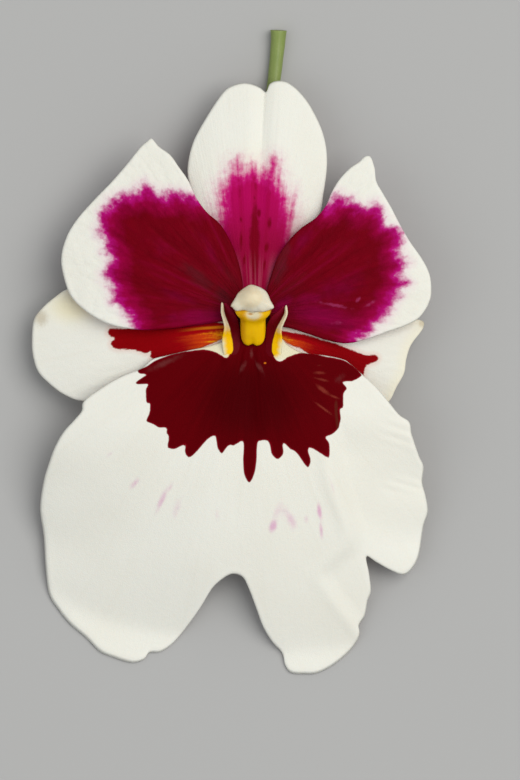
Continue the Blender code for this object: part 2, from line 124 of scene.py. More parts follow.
# The dark mask on the lip, and the crimson blotches and streaks on the other blades
LIP_MASK = [
    (-4.6, -6.6), (-5.6, -6.1), (-7.3, -5.4), (-9.0, -5.2), (-10.6, -5.4), (-12.3, -5.6),
    (-14.9, -6.3), (-17.0, -7.1), (-18.6, -8.2), (-19.9, -8.7), (-20.1, -9.1), (-19.8, -9.5),
    (-19.0, -9.55), (-18.7, -9.7), (-19.3, -10.1), (-20.3, -10.8), (-20.5, -11.1), (-20.0, -11.35),
    (-18.4, -11.3), (-18.7, -12.4), (-18.6, -14.4), (-18.0, -14.7), (-18.1, -16.3), (-18.6, -17.7),
    (-17.5, -18.2), (-16.4, -18.8), (-15.1, -18.9), (-15.1, -19.8), (-14.7, -20.3), (-14.9, -21.9),
    (-14.7, -22.4), (-13.6, -22.5), (-11.9, -21.8), (-11.9, -23.0), (-11.2, -24.0), (-10.2, -23.4),
    (-9.2, -22.3), (-8.0, -20.9), (-6.8, -20.2), (-6.4, -20.9), (-6.1, -22.5), (-5.4, -23.3),
    (-4.6, -22.3), (-4.1, -21.9), (-3.3, -21.9), (-1.8, -21.3), (-1.75, -24.4), (-1.5, -26.95),
    (-0.63, -28.35), (0.22, -26.95), (0.62, -24.4), (0.8, -21.6), (1.3, -21.1), (2.5, -21.1),
    (3.0, -21.9), (3.3, -23.4), (4.3, -24.3), (5.3, -23.3), (5.2, -21.9), (5.5, -21.6),
    (6.5, -22.5), (7.7, -23.3), (9.1, -25.3), (9.7, -25.7), (10.1, -24.5), (9.6, -22.9),
    (10.0, -22.3), (11.9, -23.3), (13.1, -24.1), (13.2, -21.7), (12.6, -20.5), (13.5, -20.1),
    (14.6, -19.2), (14.95, -18.6), (15.3, -17.1), (15.2, -15.6), (15.75, -15.2), (15.8, -13.05),
    (16.4, -12.0), (15.7, -10.95), (17.4, -10.75), (18.9, -9.85), (18.7, -9.2), (17.7, -8.2),
    (15.7, -7.0), (12.7, -6.4), (10.5, -5.9), (8.3, -5.8), (6.1, -6.5), (5.3, -7.0), (4.3, -7.1),
    (3.4, -5.6), (3.4, -4.6), (3.6, -2.0), (-3.8, -2.0), (-3.7, -4.6), (-4.1, -5.8),
]
LEFT_BLOTCH = [
    (5.0, 4.0), (4.0, 12.0), (1.0, 18.0), (-4.0, 22.4), (-8.6, 22.2), (-9.7, 21.2), (-11.0, 21.9),
    (-14.0, 22.4), (-15.6, 21.6), (-18.8, 23.6), (-21.0, 21.9), (-23.1, 21.6), (-25.5, 20.0),
    (-26.4, 18.4), (-26.6, 16.2), (-26.6, 15.2), (-25.8, 13.6), (-25.2, 11.4), (-24.7, 10.1),
    (-25.8, 8.2), (-25.0, 6.8), (-24.4, 4.2), (-23.6, 2.9), (-22.0, 0.7), (-20.9, -1.2),
    (-20.4, -5.0), (-10.0, -7.0), (2.0, -5.0),
]
RIGHT_BLOTCH = [
    (-5.0, 4.0), (-3.0, 11.0), (1.0, 18.0), (7.0, 21.5), (11.6, 21.4), (13.0, 20.0), (14.9, 21.5),
    (17.0, 20.7), (19.2, 19.6), (21.5, 20.1), (22.6, 18.5), (23.7, 16.6), (25.6, 15.6),
    (26.1, 13.4), (25.6, 11.3), (26.7, 9.7), (25.8, 7.5), (26.9, 6.2), (25.0, 4.4), (24.0, 1.9),
    (21.8, -0.5), (20.0, -2.6), (18.1, -3.9), (17.6, -8.0), (8.0, -8.0), (-2.0, -5.0),
]
DORSAL_BLOTCH = [
    (-3.0, 2.0), (-5.8, 8.0), (-6.3, 14.0), (-6.0, 19.0), (-5.8, 22.6), (-4.9, 24.2), (-4.1, 25.4),
    (-3.4, 27.2), (-2.6, 28.2), (-1.8, 26.7), (-1.2, 25.9), (-0.4, 27.2), (0.6, 26.3), (1.6, 25.9),
    (2.7, 27.0), (3.7, 28.5), (4.2, 26.0), (4.7, 24.2), (5.7, 22.8), (6.4, 21.0), (6.8, 17.0),
    (6.8, 13.0), (6.2, 8.0), (3.0, 2.0),
]
LEFT_STREAK = [
    (-4.6, -0.6), (-7.0, -0.4), (-12.0, -0.6), (-18.0, -1.2), (-21.8, -1.5), (-24.1, -1.5),
    (-25.1, -1.6), (-25.4, -2.3), (-24.9, -2.9), (-24.2, -3.1), (-24.9, -4.1), (-24.1, -5.0),
    (-22.2, -5.1), (-20.8, -5.2), (-18.7, -5.8), (-17.9, -5.4), (-17.8, -6.7), (-15.4, -6.7),
    (-12.0, -6.0), (-9.3, -5.0), (-6.6, -3.9), (-4.6, -2.9), (-3.0, -2.0), (-3.0, -0.8),
]
RIGHT_STREAK = [
    (3.0, -1.2), (4.8, -1.8), (6.5, -2.1), (9.3, -2.6), (12.3, -3.5), (14.5, -4.1), (17.3, -5.25),
    (19.7, -6.05), (21.4, -6.1), (21.95, -6.7), (21.3, -7.4), (19.9, -7.9), (19.4, -9.2),
    (19.0, -9.8), (15.0, -8.0), (9.8, -5.9), (8.3, -5.0), (6.6, -4.4), (5.3, -3.6), (3.0, -2.2),
]

# Soft oval blots: place, half length, half width, lean of the length from upright (to the right
# where positive) and strength. Small pink ones on the lip's white, then pale scratches, painted
# sheen on the keels and patch, the darkest middle and an orange speck on its mask
PINK_MARKS = [
    (-20.7, -28.6, 1.3, 0.5, 0.7, 0.85), (-15.9, -31.3, 2.3, 0.55, 0.43, 0.9),
    (-14.4, -29.2, 1.4, 0.35, 0.5, 0.5), (-13.4, -33.0, 2.4, 0.8, 0.3, 0.5),
    (-6.3, -34.0, 1.0, 0.6, 0.1, 0.4), (3.5, -36.0, 1.1, 0.7, 0.3, 1.3),
    (4.3, -33.6, 1.9, 0.8, 0.3, 0.6), (6.7, -34.9, 1.9, 0.8, -0.45, 0.85),
    (5.6, -33.6, 1.6, 1.4, -0.4, 0.45), (9.2, -34.8, 0.7, 0.45, 0.0, 0.6),
    (11.6, -33.4, 1.5, 0.42, -0.1, 1.2), (11.9, -36.8, 1.6, 0.36, -0.08, 0.9),
    (13.9, -29.4, 2.4, 0.25, -0.35, 0.4), (-25.0, -23.4, 1.2, 0.35, 0.8, 0.4),
]
SCRATCHES = [
    (11.6, -9.3, 1.2, 0.32, 1.57, 0.8), (11.6, -8.0, 0.5, 0.22, 1.57, 0.5),
    (12.0, -10.5, 1.5, 0.26, 1.8, 0.8), (12.2, -12.3, 1.6, 0.40, 2.2, 1.0),
    (14.2, -13.5, 1.2, 0.22, 1.95, 0.9), (12.4, -15.6, 2.2, 0.22, 2.2, 1.0),
]
# Painted sheen on the mask's keels and patches
KEELS = [
    (-0.25, -6.0, 0.9, 0.30, 0.0, 1.0), (-1.8, -8.4, 1.2, 0.32, 0.42, 0.9),
    (1.1, -8.2, 1.4, 0.32, -0.54, 0.9), (-15.4, -7.6, 3.3, 0.6, 1.13, 0.85),
    (15.2, -10.4, 1.3, 0.8, 0.6, 0.6),
]
MASK_DEPTH = [
    (-0.5, -14.0, 7.5, 10.0, 0.0, 1.0),
]
MASK_SPECK = [
    (2.1, -7.6, 0.25, 0.3, 0.0, 1.0),
]
# Dark dashes along the dorsal sepal's veins, and pale flecks, painted shadow and purple areas of
# the petals
SEPAL_DASHES = [
    (0.2, 21.4, 0.4, 0.35, 0.0, 0.8), (0.3, 13.8, 6.6, 0.90, 0.0, 1.15),
    (0.95, 18.6, 0.9, 0.5, 0.0, 0.9), (0.15, 9.6, 2.4, 0.40, 0.0, 0.8),
    (0.4, 24.0, 2.4, 0.42, 0.0, 0.42), (-2.1, 17.5, 0.7, 0.36, 0.0, 0.7),
    (-2.1, 13.8, 1.9, 0.36, 0.0, 0.75), (-1.5, 10.6, 1.5, 0.34, 0.15, 0.7),
    (-2.3, 22.5, 3.6, 0.4, 0.0, 0.34), (2.9, 16.9, 1.2, 0.42, 0.05, 0.75),
    (2.4, 12.8, 1.1, 0.5, 0.1, 0.75), (2.0, 9.6, 1.3, 0.36, 0.15, 0.7),
    (3.1, 22.6, 3.6, 0.45, 0.0, 0.34),
]
PETAL_FLECKS = [
    (14.2, 2.6, 3.2, 0.38, 1.75, 1.05), (18.3, 3.4, 1.0, 0.4, 0.6, 0.8),
    (20.4, 2.8, 1.6, 0.4, 1.1, 0.75), (14.5, -0.4, 2.2, 0.9, 1.5, 0.4),
    (19.0, -1.4, 1.0, 0.5, 0.5, 0.45),
]
# Spots of painted shadow on the petals near the column
PETAL_SHADOW_SPOTS = [
    (-9.5, 7.4, 4.8, 1.5, -0.85, 0.85), (-5.4, 4.2, 2.6, 1.4, -0.8, 0.9),
    (4.9, 9.8, 4.2, 1.4, 0.28, 0.95), (7.5, 6.6, 3.4, 1.2, 0.9, 0.5),
    (-4.4, 8.6, 3.0, 1.0, -0.4, 0.5),
]
PETAL_PURPLE = [
    (-9.0, 0.5, 6.5, 1.7, 1.5, 0.8), (5.2, 2.6, 2.4, 1.2, 0.9, 0.9),
    (12.5, 0.6, 6.5, 2.4, 1.8, 0.9), (-13.0, 4.0, 5.0, 1.2, -1.2, 0.5),
    (-7.4, 12.0, 5.0, 1.0, -0.5, 0.5), (10.0, 3.6, 4.0, 1.4, 1.3, 0.7),
    (14.5, 5.4, 6.5, 2.4, 1.2, 0.55), (8.5, 13.6, 5.0, 1.3, 0.6, 0.5),
    (-16.0, 12.5, 4.5, 2.0, -1.0, 0.3),
]
# The cream patch of the left lateral sepal, and a spot of painted shade near the tip of each, where
# it bends back
LEFT_SEPAL_CREAM = [
    (-31.5, 2.4, 3.0, 4.5, 0.0, 1.0),
]
SEPAL_TIP_SHADE_SPOTS = [
    (-37.2, 0.4, 1.6, 1.4, 0.0, 1.0), (29.6, -0.6, 0.8, 0.8, 0.0, 1.0),
]

# Where the lip's right lobe comes out from under its front, as distance below the column and to
# the right. Each ear's two lines, from the throat to its tip, with its side as +X
LIP_FOLD = [
    (16.5, 13.2), (20.0, 13.6), (28.0, 14.9), (35.9, 17.5), (39.4, 17.2), (42.2, 14.4),
    (44.6, 12.6), (47.4, 13.8), (50.2, 15.8), (53.7, 18.6), (57.0, 21.0),
]
EAR_ROOT = {
    -1: [(2.5, -7.3, 10.9), (2.2, -5.8, 10.9), (2.1, -4.2, 10.8), (2.2, -2.5, 10.9),
         (2.4, -0.9, 11.3), (2.9, 0.6, 12.2), (3.8, 1.9, 13.3), (4.7, 2.9, 14.4)],
    1: [(2.5, -7.7, 10.9), (2.2, -6.0, 10.9), (2.1, -4.4, 10.8), (2.2, -2.6, 10.9),
        (2.4, -1.0, 11.3), (3.1, 0.4, 12.2), (4.2, 1.4, 13.3), (5.2, 2.3, 14.4)],
}
EAR_EDGE = {
    -1: [(4.7, -6.8, 11.1), (5.1, -5.9, 11.6), (5.35, -4.6, 11.9), (5.2, -3.0, 12.4),
         (5.0, -1.4, 13.3), (5.1, -0.1, 14.0), (5.5, 1.5, 14.8), (5.35, 3.1, 15.2)],
    1: [(4.6, -7.2, 11.1), (4.9, -6.3, 11.6), (5.0, -5.0, 11.9), (4.95, -3.3, 12.4),
        (4.95, -1.9, 13.2), (5.2, -0.7, 14.0), (5.95, 1.1, 14.8), (5.7, 2.6, 15.2)],
}
CAP_RIM = [
    (-0.4, 6.15), (-1.45, 5.65), (-2.6, 4.7), (-3.2, 3.7), (-3.9, 2.5), (-3.6, 2.1), (-2.9, 1.5),
    (-1.7, 1.65), (-0.9, 1.5), (0.0, 1.3), (1.0, 1.4), (1.75, 1.35), (2.8, 1.65), (3.7, 2.15),
    (3.1, 3.4), (2.6, 4.55), (2.05, 5.2), (1.0, 5.8),
]
# Rings of the column and of the yellow plate before it: level, half width, front, back, squareness
COLUMN_RINGS = [
    (9.3, 1.9, -1.2, 2.0, 2.0), (10.4, 1.9, -1.6, 2.4, 2.1), (10.9, 2.0, -4.25, 2.6, 2.9),
    (11.5, 2.15, -4.5, 2.8, 3.4), (12.0, 2.2, -4.35, 3.0, 3.4), (12.6, 2.2, -3.8, 3.2, 3.2),
    (13.4, 2.15, -2.9, 3.6, 3.0), (14.2, 2.15, -1.9, 4.0, 2.8), (14.9, 2.25, -1.1, 4.4, 2.6),
    (15.5, 2.75, -0.6, 4.6, 2.4), (16.2, 3.2, -0.25, 4.6, 2.3), (16.8, 3.3, 0.1, 4.6, 2.3),
    (17.3, 3.1, 0.7, 4.5, 2.3), (17.5, 2.6, 1.4, 4.4, 2.2),
]
STALK_LINE = [
    (0.0, 0.0, 9.0, 3.9), (0.0, 0.0, 8.5, 3.6), (0.0, 0.0, 7.8, 2.5), (0.0, 0.1, 6.8, 2.0),
    (0.0, 0.7, 5.2, 1.8), (0.0, 1.9, 3.7, 1.75), (0.0, 3.7, 2.6, 1.7), (0.0, 6.2, 1.9, 1.65),
    (0.1, 9.5, 1.6, 1.6), (0.4, 14.0, 1.5, 1.5), (0.9, 19.0, 1.4, 1.4), (1.5, 25.0, 1.25, 1.25),
    (2.4, 32.0, 1.2, 1.2), (3.3, 39.0, 1.15, 1.15), (4.0, 45.0, 1.2, 1.2), (4.4, 49.0, 1.3, 1.3),
    (4.5, 51.0, 1.45, 1.45),
]


# Settings


def colour(name, description, value):
    """A colour setting with its default."""
    return FloatVectorProperty(name=name, description=description, default=value, size=3, min=0.0,
                               max=1.0, subtype="COLOR")


class BloomShape(bpy.types.PropertyGroup):
    """Sizes of the bloom's blades."""

    thickness: FloatProperty(name="Blade thickness", default=0.0006, min=0.0002, max=0.0008,
                             unit="LENGTH", description="Thickness of a sepal, petal or lip")
    margin: FloatProperty(name="Rounded margin", default=0.0006, min=0.0002, max=0.002,
                          unit="LENGTH", description="Width over which a blade thins to its edge")
    vein_relief: FloatProperty(name="Vein relief", default=0.00004, min=0.0, max=0.0002,
                               unit="LENGTH", description="Height of the veins' low ridges")
    cells: IntProperty(name="Cells", default=150, min=20, max=200,
                       description="Grid cells along each side of a blade")
    lip_cells: IntProperty(name="Lip cells", default=196, min=20, max=200,
                           description="Grid cells along each side of the lip")


class BloomColours(bpy.types.PropertyGroup):
    """Colours of the bloom."""

    white: colour("White", "Tissue outside the marks", (0.82, 0.815, 0.735))
    shade: colour("Warm white", "Older and thicker white tissue", (0.71, 0.66, 0.52))
    crimson: colour("Crimson", "Petal blotch", (0.165, 0.0002, 0.0065))
    rose: colour("Rose", "Outer part of a petal's blotch", (0.33, 0.0006, 0.055))
    magenta: colour("Magenta", "Feathered edge of a blotch", (0.47, 0.006, 0.20))
    dusk: colour("Dusk", "Petal blotch beside the column", (0.115, 0.006, 0.011))
    mask: colour("Mask", "Middle of the mask on the lip", (0.062, 0.0002, 0.0014))
    mask_edge: colour("Mask edge", "Bright margin of the mask", (0.19, 0.0006, 0.006))
    orange: colour("Orange", "Inner part of the sepals' streaks", (0.70, 0.075, 0.006))
    yellow: colour("Yellow", "Column and the inside of the ears", (0.90, 0.52, 0.001))
    cream: colour("Cream", "Anther cap and ears", (0.78, 0.68, 0.47))
    green: colour("Green", "Stalk and ovary", (0.20, 0.27, 0.055))


class BloomStage(bpy.types.PropertyGroup):
    """Floor, light and camera."""

    floor: colour("Floor", "Colour of the floor", (0.42, 0.42, 0.41))
    key: FloatProperty(name="Key light", default=35.5, min=0.0, unit="POWER",
                       description="Power of the main light")
    fill: FloatProperty(name="Fill light", default=4.5, min=0.0, unit="POWER",
                        description="Power of the fill light")
    room: FloatProperty(name="Room light", default=0.5, min=0.0,
                        description="Strength of the light from all round")
    distance: FloatProperty(name="Camera height", default=2.0, min=0.2, unit="LENGTH",
                            description="Height of the camera above the floor")
    pixel: FloatProperty(name="Scale", default=0.175, min=0.01,
                         description="Millimetres across one pixel of the picture at the bloom")


# Shapes


def smoothstep(low, high, value):
    """0 up to low, 1 from high on, and a smooth rise between."""
    share = np.clip((value - low) / (high - low), 0.0, 1.0)
    return share * share * (3.0 - 2.0 * share)


def smooth_ring(points, steps=24):
    """The closed smooth curve through points: a cubic between each two, with steps points on it."""
    ring = np.array(points, float)
    before, after, later = np.roll(ring, 1, 0), np.roll(ring, -1, 0), np.roll(ring, -2, 0)
    t = np.linspace(0.0, 1.0, steps, endpoint=False)[:, None, None]
    curve = 0.5 * (2 * ring + (after - before) * t
                   + (2 * before - 5 * ring + 4 * after - later) * t**2
                   + (3 * ring - before - 3 * after + later) * t**3)
    return curve.transpose(1, 0, 2).reshape(-1, ring.shape[1])


def smooth_line(points, count):
    """count points along the open smooth curve through points, evenly spread between them."""
    line = np.array(points, float)
    line = np.vstack([2 * line[0] - line[1], line, 2 * line[-1] - line[-2]])
    at = np.linspace(0.0, len(points) - 1.000001, count)
    i = at.astype(int)
    t = (at - i)[:, None]
    a, b, c, d = line[i], line[i + 1], line[i + 2], line[i + 3]
    return 0.5 * (2 * b + (c - a) * t + (2 * a - 5 * b + 4 * c - d) * t**2
                  + (3 * b - a - 3 * c + d) * t**3)


def even_ring(curve, count):
    """count points spaced evenly along a closed curve."""
    closed = np.vstack([curve, curve[:1]])
    run = np.concatenate([[0.0], np.cumsum(np.linalg.norm(np.diff(closed, axis=0), axis=1))])
    wanted = np.linspace(0.0, run[-1], count, endpoint=False)
    return np.stack([np.interp(wanted, run, closed[:, axis]) for axis in range(2)], axis=1)


def way_round(a, b):
    """Share of the way round a square's edge at which a ray from its middle through (a, b) leaves:
    a quarter for each side, from the lower left corner."""
    reach = np.maximum(np.maximum(np.abs(a), np.abs(b)), 1e-9)
    a, b = a / reach, b / reach
    side = np.select([b <= -1 + 1e-9, a >= 1 - 1e-9, b >= 1 - 1e-9], [0.0, 1.0, 2.0], 3.0)
    along = np.select([side == 0, side == 1, side == 2], [a, b, -a], -b)
    return (side + (along + 1.0) / 2.0) / 4.0


def distance_inside(x, y, ring):
    """Distance from a closed ring, positive inside it: the least distance from its straight sides,
    with the sign from how many of them a ray to the right crosses."""
    nearest = np.full(x.shape, 1e12)
    inside = np.zeros(x.shape, bool)
    for (ax, ay), (bx, by) in zip(ring, np.roll(ring, -1, 0)):
        run_x, run_y = bx - ax, by - ay
        t = np.clip(((x - ax) * run_x + (y - ay) * run_y) / (run_x**2 + run_y**2 + 1e-12), 0.0, 1.0)
        nearest = np.minimum(nearest, (x - ax - t * run_x) ** 2 + (y - ay - t * run_y) ** 2)
        if ay != by:
            inside ^= ((ay > y) != (by > y)) & (x < run_x * (y - ay) / run_y + ax)
    return np.where(inside, 1.0, -1.0) * np.sqrt(nearest)


def ripple(x, y, length, seed, waves=7):
    """Uneven low waves about this long: the mean of sines that run in seeded directions."""
    draw = np.random.default_rng(seed)
    turn, phase = draw.uniform(0, 2 * math.pi, (2, waves))
    pace = 2 * math.pi / (length * draw.uniform(0.7, 1.5, waves))
    across = x[..., None] * np.cos(turn) + y[..., None] * np.sin(turn)
    return np.sin(pace * across + phase).mean(axis=-1)


def veins(x, y, base, fan, seed):
    """Low ridges along the veins that fan out from base, upwards, or downwards where fan is below
    0: a sine of the bearing, this many to the radian, bent a little by slow ripples, and fading
    where they would be closer than 1 mm."""
    ridges = abs(fan)
    reach = np.hypot(x - base[0], y - base[1])
    bearing = np.arctan2(x - base[0], (y - base[1]) * math.copysign(1.0, fan))
    wander = 0.02 * ripple(x, y, 9.0, seed)
    return np.sin((bearing + wander) * ridges) * smoothstep(ridges * 0.16, ridges * 0.5, reach)


def dorsal_sepal_height(x, y):
    """A shallow arch that bends back at the tip and the margins, with a groove along the midrib."""
    along = y / 42.0
    arch = SEPAL_LEVEL + 0.6 * np.sin(math.pi * np.clip(along, 0.0, 1.0)) - 3.4 * along**3
    margins = 1.6 * (x / 12.0) ** 2 * smoothstep(4.0, 20.0, y)
    groove = 0.7 * np.exp(-(((x - 0.05 * y) / 1.6) ** 2)) * smoothstep(12.0, 30.0, y)
    crease = 0.35 * np.exp(-(((x - 0.05 * y) / 0.45) ** 2)) * smoothstep(26.0, 40.0, y)
    return arch - margins - groove - crease + 0.12 * ripple(x, y, 11.0, 3)


def lateral_sepal_height(x, y):
    """A blade that runs out level and then bends back towards its tip."""
    out = np.hypot(x, y)
    level = SEPAL_LEVEL - 0.0034 * np.maximum(out - 3.0, 0.0) ** 2 - 0.006 * (y + 4.0) ** 2
    return level + 0.22 * ripple(x, y, 13.0, 5) * smoothstep(14.0, 26.0, out)


def petal_height(x, y):
    """A blade that lifts off the sepals near the column and bends back towards its margin."""
    out = np.maximum(np.hypot(x, y) - 3.0, 0.0)
    level = PETAL_LEVEL + 0.12 * out - 0.0050 * out**2
    return level + 0.25 * ripple(x, y, 15.0, 8) * smoothstep(10.0, 24.0, out)


def behind_fold(x, y):
    """Distance to the right of the lip's fold."""
    below, right = smooth_line(LIP_FOLD, 120).T
    return x - np.interp(-y, below, right)


def lip_height(x, y):
    """The ridge line falls away to both sides, the right lobe drops behind the fold, the outer
    margins are ruffled, and the neck is a trough between two rising rims."""
    below = -y
    past = np.maximum(below - 18.0, 0.0) / 42.0
    ridge = PETAL_LEVEL + 2.9 * smoothstep(2.6, 20.0, below) - 14.0 * past**1.8
    fall = (0.0025 + 0.003 * np.exp(-(((y + 36.0) / 14.0) ** 2))) * x**2
    behind = behind_fold(x, y)
    faint = 1.0 - 0.6 * smoothstep(33.0, 42.0, below)
    drop = 1.9 * smoothstep(-1.5, 2.6, behind) * smoothstep(14.0, 24.0, below) * faint
    lip_of_fold = 0.35 * np.exp(-(((behind + 1.6) / 1.3) ** 2)) * smoothstep(16.0, 26.0, below)
    lip_of_fold *= faint
    margin = 0.8 * smoothstep(17.0, 30.0, x) + 0.3 * smoothstep(26.0, 38.0, -x)
    ruffle = 0.5 * np.sin(2.0 * math.pi * (y + 3.0) / 11.0) * margin
    fine = 0.08 * np.sin(2.0 * math.pi * (y + 0.35 * x) / 1.9) * smoothstep(21.0, 25.0, x)
    fine *= np.exp(-(((y + 19.5) / 2.6) ** 2)) + np.exp(-(((y + 29.0) / 1.3) ** 2))
    rims = 0.5 * np.exp(-(((np.abs(x) - 4.5) / 0.9) ** 2)) * smoothstep(9.0, 5.5, below)
    keels = 0.42 * np.exp(-(((np.abs(x + 0.2) - 1.0 - 0.13 * (below - 5.0)) / 0.34) ** 2))
    keels *= smoothstep(4.5, 6.0, below) * smoothstep(11.5, 8.0, below)
    dimple = -0.3 * np.exp(-(((x + 0.2) / 1.6) ** 2)) * smoothstep(8.0, 13.0, below)
    dimple *= smoothstep(26.0, 16.0, below)
    level = ridge - fall - drop + lip_of_fold + ruffle + fine + rims + keels + dimple
    level += 0.08 * ripple(x, y, 15.0, 12) * smoothstep(14.0, 30.0, below)
    level -= 1.4 * smoothstep(40.0, 58.0, below) * smoothstep(0.0, 14.0, -x)
    return LIP_LOWEST + 0.35 * np.logaddexp(0.0, (level - LIP_LOWEST) / 0.35)


def leaning(x, y, blots):
    """The strongest at each place of soft oval blots, which fade as exp(-d^2), d being the distance
    in half lengths and half widths."""
    found = np.zeros_like(x)
    for across, up, long, wide, lean, strength in blots:
        run = (x - across) * math.sin(lean) + (y - up) * math.cos(lean)
        off = (x - across) * math.cos(lean) - (y - up) * math.sin(lean)
        found = np.maximum(found, strength * np.exp(-((off / wide) ** 2) - (run / long) ** 2))
    return found


def blade_grid(rim, heart, cells, crowd=1.0):
    """A square grid laid into a ring: rays from heart to the rim, as a square's rays from its
    middle to its edge. crowd above 1 draws the cells towards heart. Returns x, y and reach."""
    a, b = np.meshgrid(np.linspace(-1, 1, cells + 1), np.linspace(-1, 1, cells + 1))
    ring = even_ring(smooth_ring(rim), 4 * cells)
    ring = np.vstack([ring, ring[:1]])
    place = way_round(a, b) * 4 * cells
    edge = [np.interp(place, np.arange(4 * cells + 1), ring[:, axis]) for axis in (0, 1)]
    reach = np.maximum(np.abs(a), np.abs(b)) ** crowd
    return (heart[0] + reach * (edge[0] - heart[0]), heart[1] + reach * (edge[1] - heart[1]), reach)


def grid_faces(rows, columns, wrap=False):
    """Quads of a grid of points, counted row by row, and joined to its first column if wrap."""
    index = np.arange(rows * columns).reshape(rows, columns)
    if wrap:
        index = np.hstack([index, index[:, :1]])
    corners = [index[:-1, :-1], index[:-1, 1:], index[1:, 1:], index[1:, :-1]]
    return np.stack(corners, -1).reshape(-1, 4)


def make_piece(name, points, faces, marks, finish, node, slot):
    """A mesh piece from points in millimetres, with its marks as attributes, its material and the
    CAD node it stands for. slot is not used."""
    mesh = bpy.data.meshes.new(name)
    mesh.from_pydata(((points + FOOT) * MM).tolist(), [], [tuple(face) for face in faces])
    for mark, values in marks.items():
        layer = mesh.attributes.new(mark, "FLOAT", "POINT")
        layer.data.foreach_set("value", np.ascontiguousarray(values, np.float32))
    mesh.polygons.foreach_set("use_smooth", np.ones(len(mesh.polygons), bool))
    mesh.materials.append(finish)
    mesh.update()
    piece = bpy.data.objects.new(name, mesh)
    bpy.context.scene.collection.objects.link(piece)
    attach(piece, "root")
    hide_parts(node)


def two_skins(front, back, rim, faces):
    """Points and faces of a closed skin: a front and a back grid that share the points on their
    rim, with the back's faces turned over."""
    joined = np.where(rim, np.arange(rim.size), rim.size + np.cumsum(~rim) - 1)
    return np.vstack([front, back[~rim]]), np.vstack([faces, joined[faces[:, ::-1]]])


def skin_marks(marks, rim, at_rim=None):
    """The marks of a front grid, repeated on the back's own points. With at_rim, also front: 1 on
    the front, at_rim along the rim and 0 on the back."""
    flat = {key: value.reshape(-1) for key, value in marks.items()}
    values = {key: np.concatenate([value, value[~rim]]) for key, value in flat.items()}
    if at_rim is not None:
        values["front"] = np.concatenate([np.where(rim, at_rim, 1.0), np.zeros(np.sum(~rim))])
    return values


def blade(node, rim, heart, height, relief, finish, slot, marks, shape, cells, crowd=1.0):
    """A sepal, petal or lip: two skins half a thickness either side of height(x, y) with
    relief(x, y) on it, along its normal. Near the rim the half thickness follows a circle, down to
    nothing on it, where they meet. marks(x, y, margin) gives its attributes."""
    x, y, reach = blade_grid(rim, heart, cells, crowd)
    margin = np.abs(distance_inside(x, y, even_ring(smooth_ring(rim), 420)))
    on_rim = reach >= ON_RIM
    margin[on_rim] = 0.0
    step = 0.05
    level = height(x, y)
    slope_x = (height(x + step, y) - level) / step
    slope_y = (height(x, y + step) - level) / step
    normal = np.stack([-slope_x, -slope_y, np.ones_like(x)], -1)
    normal /= np.linalg.norm(normal, axis=-1, keepdims=True)
    away = np.clip(1.0 - margin / (shape.margin / MM), 0.0, 1.0)
    half = 0.5 * shape.thickness / MM * np.sqrt(1.0 - away**2)
    low = shape.vein_relief / MM * relief(x, y) * smoothstep(0.2, 2.0, margin)
    middle = np.stack([x, y, level + low], -1)
    front = (middle + normal * half[..., None]).reshape(-1, 3)
    back = (middle - normal * half[..., None]).reshape(-1, 3)
    edge = on_rim.reshape(-1)
    points, faces = two_skins(front, back, edge, grid_faces(cells + 1, cells + 1))
    values = skin_marks(marks(x, y, margin), edge, at_rim=0.5)
    make_piece(f"{node}_blade", points, faces, values, finish, node, slot)


def add_ear(side, finish):
    """An ear of the lip with its wall of the throat: rules from the line beside the column to its
    free edge, sagging in their middle like a trough's side and curled out at the edge, with a skin
    on either side that meet along all four edges."""
    rows, columns = 61, 33
    root, edge = smooth_line(EAR_ROOT[side], rows), smooth_line(EAR_EDGE[side], rows)
    up = np.linspace(0.0, 1.0, columns)[None, :] + np.zeros((rows, 1))
    along = np.linspace(0.0, 1.0, rows)[:, None] + np.zeros((1, columns))
    sag = np.sin(math.pi * up) * smoothstep(0.2, 0.6, along)
    middle = root[:, None] + up[..., None] * (edge - root)[:, None]
    middle[..., 0] += 0.22 * sag + 0.10 * up**6 + 0.07 * np.sin(along * 19.0) * up**2
    middle[..., 2] -= 0.45 * sag + 0.18 * up**8
    normal = np.cross(np.gradient(middle, axis=0), np.gradient(middle, axis=1))
    normal /= np.linalg.norm(normal, axis=-1, keepdims=True)
    rounded = np.minimum(np.minimum(along, 1.0 - along) * 14.0, (1.0 - up) * 9.0)
    half = 0.20 * np.sqrt(1.0 - (1.0 - np.clip(rounded, 0.0, 1.0)) ** 2)[..., None]
    inner = ((middle - normal * half) * (side, 1.0, 1.0)).reshape(-1, 3)
    outer = ((middle + normal * half) * (side, 1.0, 1.0)).reshape(-1, 3)
    rim = np.zeros(along.shape, bool)
    rim[[0, -1], :] = rim[:, [0, -1]] = True
    rim = rim.reshape(-1)
    inner[rim] = (inner[rim] + outer[rim]) / 2
    points, faces = two_skins(inner, outer, rim, grid_faces(rows, columns))
    make_piece(f"lip_ear_{'left' if side < 0 else 'right'}", points,
               faces[:, ::-1] if side < 0 else faces,
               skin_marks({"up": up, "along": along}, rim, at_rim=1.0), finish, "lip", "lip_white")


def round_faces(rows, columns, over=False):
    """Quads of rings of points, counted ring by ring from the foot and anticlockwise, closed by a
    fan at each end: to the point after them all at the foot and to the next one at the top. They
    are turned over for rings that are counted from the top or clockwise."""
    ring, last, foot = np.arange(columns), (rows - 1) * columns, rows * columns
    following = np.roll(ring, -1)
    faces = grid_faces(rows, columns, wrap=True).tolist()
    faces += [(foot, b, a) for a, b in zip(ring, following)]
    faces += [(foot + 1, last + a, last + b) for a, b in zip(ring, following)]
    return [face[::-1] for face in faces] if over else faces


